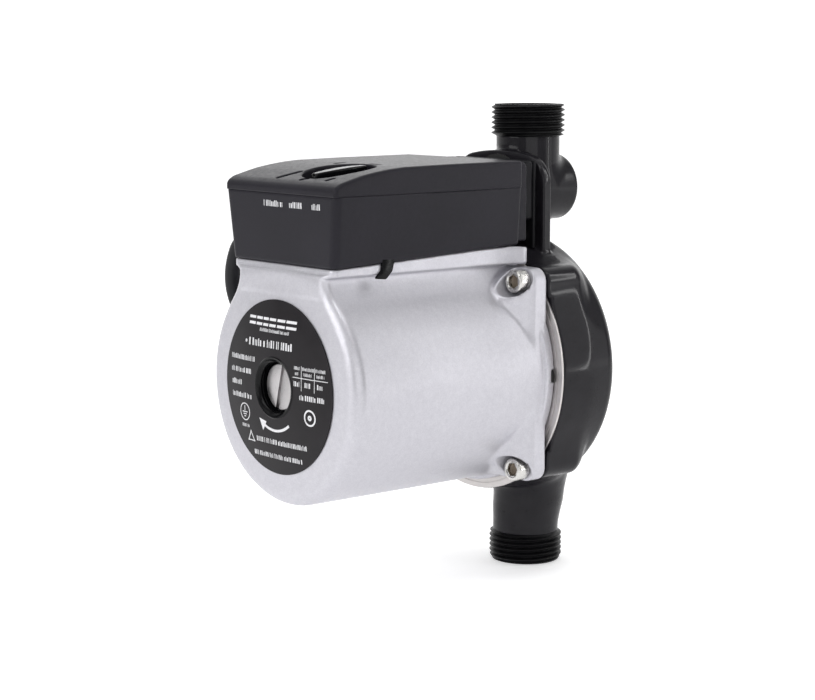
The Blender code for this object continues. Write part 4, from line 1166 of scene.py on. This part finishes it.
# =============================================================================
# cable gland and cable
# =============================================================================
GY, GZ = -118.0, 156.6
finish_piece(lathe("gland_body", rounded_profile(
    [(4.2, -41.0), (8.2, -41.0), (8.2, -37.4), (5.3, -37.4), (5.3, -31.5), (4.2, -31.5)],
    [0, 0.4, 0.4, 0, 0.3, 0]), (0, GY, GZ), 'X', 64), "black", "pump_body", ["cable_gland_body"])
nut = lathe("gland_nut", rounded_profile(
    [(4.2, -46.8), (5.8, -46.8), (7.9, -44.4), (7.9, -41.3), (5.8, -41.3), (5.8, -43.6), (4.2, -43.6)],
    [0, 0.5, 0.7, 0.3, 0, 0, 0]), (0, GY, GZ), 'X', 72)
apply_boolean(nut, [tool(block(f"t_flute_{k}", (-45.6, GY + 8.5 * math.cos(math.radians(30 * k)) - 0.9,
                                               GZ + 8.5 * math.sin(math.radians(30 * k)) - 0.9),
                               (-41.0, GY + 8.5 * math.cos(math.radians(30 * k)) + 0.9,
                                GZ + 8.5 * math.sin(math.radians(30 * k)) + 0.9))) for k in range(12)])
finish_piece(nut, "black", "pump_body", ["cable_gland_nut"])


def cable_points():
    pts = [(-30.0, GY, GZ), (-38.0, GY, GZ), (-47.0, GY, GZ)]
    for i in range(1, 9):
        a = math.radians(9 * i)
        pts.append((-47.0 - 9.5 * math.sin(a), GY, GZ - 9.5 + 9.5 * math.cos(a)))
    for t in range(1, 31):
        s = t / 30
        pts.append((-56.6 - 12.2 * math.sin(math.pi * (0.08 + 0.87 * s)), GY + 12.0 * s * s, 150.2 - 48.0 * s))
    return np.array(pts)


def tube(name, path, radius, seg=28):
    # even steps along the path, softened a little, then a frame carried along it
    L = np.concatenate([[0], np.cumsum(np.linalg.norm(np.diff(path, axis=0), axis=1))])
    s = np.arange(0, L[-1], 1.0)
    p = np.stack([np.interp(s, L, path[:, k]) for k in range(3)], 1)
    p = np.concatenate([p, path[-1:]])
    q = p.copy()
    for _ in range(6):
        q[1:-1] = 0.25 * q[:-2] + 0.5 * q[1:-1] + 0.25 * q[2:]
    p = q
    t = np.gradient(p, axis=0)
    t /= np.linalg.norm(t, axis=1)[:, None]
    n = np.array([0.0, 1.0, 0.0])
    a = np.arange(seg) * 2 * math.pi / seg
    rings = []
    for i in range(len(p)):
        n = n - t[i] * (n @ t[i])
        n /= np.linalg.norm(n)
        b = np.cross(t[i], n)
        rr = radius
        if i == len(p) - 1:
            rr = radius - 0.45
        rings.append(p[i] + rr * (np.cos(a)[:, None] * n + np.sin(a)[:, None] * b))
    rings.insert(len(rings) - 1, rings[-1] + (rings[-2] - rings[-1]) * 0.45 + (rings[-1] - p[-1]) * 0.12)
    return ring_skin(name, rings, 50)


finish_piece(tube("power_cable_sheath", cable_points(), 3.6), "cable", "pump_body", ["power_cable"])
# the cores show at the sheath's cut end
end, before = cable_points()[-1], cable_points()[-2]
axis = (end - before) / np.linalg.norm(end - before)
for k in range(3):
    a = 2 * math.pi * k / 3
    side = np.cross(axis, (0, 1, 0))
    side /= np.linalg.norm(side)
    other = np.cross(axis, side)
    c = end + 1.5 * (math.cos(a) * side + math.sin(a) * other)
    core = tube(f"cable_core_{k + 1}", np.array([c - axis * 3.0, c, c + axis * 1.6]), 1.05, 16)
    finish_piece(core, ("copper", "cream", "board")[k], "pump_body")

# =============================================================================
# flow switch
# =============================================================================
sw_base = block("flow_base_plate", (-26.0, -21.2, 147.0), (26.0, -19.4, 186.0), 0.5)
apply_boolean(sw_base, [tool(lathe("t_spigot", [(0, -20.3), (10.9, -20.3), (10.9, -15.9), (10.7, -15.7), (0, -15.7)],
                                   (0, 0, 172.0), 'Y', 64)),
                        tool(block("t_ear_l", (-7.0, -17.0, 163.3), (-5.6, -11.6, 166.4))),
                        tool(block("t_ear_r", (5.6, -17.0, 163.3), (7.0, -11.6, 166.4)))], 'UNION')
holes = [tool(lathe("t_clear", [(0, -40), (58.2, -40), (58.2, -10), (0, -10)], (0, 0, MZ), 'Y', 160)),
         tool(lathe("t_ears", [(0, -8.0), (1.0, -8.0), (1.0, 8.0), (0, 8.0)], (0, -13.2, 164.8), 'X', 24))]
holes += [tool(lathe(f"t_hole_{i}", [(0, -24), (2.1, -24), (2.1, -17), (0, -17)], (x, 0, z), 'Y', 32))
          for i, (x, z) in enumerate(FLOW_SCREWS)]
apply_boolean(sw_base, holes)
finish_piece(sw_base, "black", "pump_body", ["flow_switch_base"])
sw_cover = block("flow_cover_shell", (-26.8, -28.6, 159.8), (26.8, -21.5, 186.0), 2.0, 4)
apply_boolean(sw_cover, [tool(block("t_cover", (-23.0, -27.0, 163.0), (23.0, -20.0, 184.0), 0.0))])
finish_piece(sw_cover, "black", "pump_body", ["flow_switch_cover"])
for i, (x, z) in enumerate(FLOW_SCREWS, 1):
    s = lathe(f"flow_bolt_{i}", rounded_profile(
        [(0, -24.1), (3.4, -24.1), (3.4, -21.5), (1.6, -21.5), (1.6, -13.4), (0, -13.4)],
        [0, 0.9, 0.15, 0, 0.3, 0], 4), (x, 0, z), 'Y', 48)
    cross = [tool(block(f"t_cross_{i}{k}", (x - a, -24.6, z - b), (x + a, -22.9, z + b)))
             for k, (a, b) in enumerate(((2.0, 0.42), (0.42, 2.0)))]
    apply_boolean(s, cross)
    finish_piece(s, "steel", "pump_body", [f"flow_switch_screw_{i}"])

# =============================================================================
# CAD pieces that keep their shape
# =============================================================================
KEPT = {
    "housing_gasket": "rubber", "wear_ring": "turned", "rotor_can": "turned", "stator_core": "lamination",
    "winding_front": "copper", "winding_rear": "copper", "can_seal": "rubber", "front_bearing": "graphite",
    "rear_bearing": "graphite", "rotor_core": "turned", "thrust_washer": "alumina", "rotor_shaft": "alumina",
    "impeller": "polymer", "impeller_nut": "brass", "vent_plug_oring": "rubber", "lid_gasket": "rubber",
    "mode_switch_body": "cream", "capacitor": "grey", "control_board": "board", "terminal_block": "cream",
    "lead_grommet": "rubber", "terminal_box_screw_1": "steel", "terminal_box_screw_2": "steel",
    "earth_screw": "brass", "gland_seal": "rubber", "flow_switch_gasket": "rubber", "paddle_pin": "steel",
    "flow_paddle": "polymer", "paddle_magnet": "ferrite", "reed_switch": "glass",
}
for node, key in KEPT.items():
    o = bpy.data.objects[node]
    if not o.material_slots:
        o.data.materials.append(MATS[key])
    for s in o.material_slots:
        s.material = MATS[key]

# =============================================================================
# floor, light, camera
# =============================================================================
white = Mat("studio_floor", (0.80, 0.80, 0.805), 0.85, spec=0.1)
white.b.inputs["Emission Color"].default_value = (1, 1, 1, 1)
# the floor fades a little well in front of the object, out of the frame
reach = white.node("ShaderNodeVectorMath")
reach.operation = 'DOT_PRODUCT'
reach.inputs[1].default_value = (math.sin(math.radians(49.88)), -math.cos(math.radians(49.88)), 0.0)
white.link(white.tc.outputs["Object"], reach.inputs[0])
fade = white.math('MULTIPLY', white.span(reach.outputs["Value"], -0.9, -0.15, 0.72, 0.47),
                  white.span(reach.outputs["Value"], 0.28, 0.95, 1.0, 0.12))
white.link(fade, white.b.inputs["Emission Strength"])
n = white.noise(900.0, 2)
white.base(white.ramp(n, [(0.3, (0.795, 0.795, 0.80)), (0.7, (0.81, 0.81, 0.815))]))
R = 6000.0
floor = make("studio_ground", [(-R, -R, -0.4), (R, -R, -0.4), (R, R, -0.4), (-R, R, -0.4)], [(0, 1, 2, 3)])
floor.data.materials.append(white.m)

az, th = math.radians(49.88), math.radians(6.8)
right = np.array([math.cos(az), math.sin(az), 0.0])
back0 = np.array([math.sin(az), -math.cos(az), 0.0])
back = back0 * math.cos(th) + np.array([0, 0, math.sin(th)])
up = np.cross(back, right)
eye = back0 * 954.25 + right * -54.76 + np.array([0, 0, 234.03])


def aim(obj, pos, to):
    d = (np.array(to, float) - np.array(pos, float))
    obj.matrix_world = Matrix.Translation(Vector(pos) * MM) @ Vector(d).to_track_quat('-Z', 'Y').to_matrix().to_4x4()


def softbox(name, pos, to, w, h, watts, color=(1, 1, 1)):
    light = bpy.data.lights.new(name, 'AREA')
    light.shape, light.size, light.size_y = 'RECTANGLE', w * MM, h * MM
    light.energy, light.color = watts, color
    o = bpy.data.objects.new(name, light)
    bpy.context.scene.collection.objects.link(o)
    aim(o, pos, to)
    return o


mid = np.array([0.0, -60.0, 110.0])
L = lambda r, b, u: mid + right * r + back0 * b + np.array([0, 0, u])
softbox("key_left", L(-900, 600, 500), mid, 900, 900, 7.5)
softbox("top", L(0, 0, 1100), mid, 1300, 1300, 5.0)
softbox("right_side", L(1000, 150, 250), mid, 500, 1100, 1.9)
strip_at = np.array([57.0, -15.0, 115.0])
strip = softbox("strip", strip_at + 900 * np.array([0.593, 0.703, 0.393]), strip_at, 26, 1250, 1.2)
# the strip leans over along the arc that the pump's rim mirrors
face = Vector((0.593, 0.703, 0.393)).normalized()
along = Vector((-0.569, 0.0, 0.829))
along = (along - face * along.dot(face)).normalized()
strip.matrix_world = Matrix.Translation(strip.matrix_world.translation) @ Matrix(
    (along.cross(face), along, face)).transposed().to_4x4()
softbox("glint", L(150, 450, 900), mid, 240, 240, 1.3)
softbox("front_fill", L(300, 1300, 300), mid, 1100, 900, 4.0)

world = bpy.data.worlds.new("studio_world")
bpy.context.scene.world = world
world.use_nodes = True
wt = world.node_tree
bg = wt.nodes["Background"]
bg.inputs["Color"].default_value = (1.0, 1.0, 1.0, 1)
# a bright sweep behind the object, a dimmer room on the camera's side
wc = wt.nodes.new("ShaderNodeTexCoord")
wd = wt.nodes.new("ShaderNodeVectorMath")
wd.operation = 'DOT_PRODUCT'
wd.inputs[1].default_value = tuple(-back0)
wr = wt.nodes.new("ShaderNodeMapRange")
wr.interpolation_type = 'SMOOTHSTEP'
for key, value in (("From Min", 0.25), ("From Max", 0.90), ("To Min", 0.24), ("To Max", 1.65)):
    wr.inputs[key].default_value = value
wt.links.new(wc.outputs["Generated"], wd.inputs[0])
wt.links.new(wd.outputs["Value"], wr.inputs["Value"])
wt.links.new(wr.outputs["Result"], bg.inputs["Strength"])

cam = bpy.data.cameras.new("camera")
cam.sensor_width = 36.0
cam.lens = 2094.05 / 815 * 36.0
cam.shift_y = -50.0 / 815
cam.clip_start, cam.clip_end = 0.05, 50.0
cam_obj = bpy.data.objects.new("camera", cam)
bpy.context.scene.collection.objects.link(cam_obj)
rot = Matrix((right, up, back)).transposed().to_4x4()
cam_obj.matrix_world = Matrix.Translation(Vector(eye) * MM) @ rot
bpy.context.scene.camera = cam_obj
bpy.context.scene.view_settings.view_transform = 'Standard'
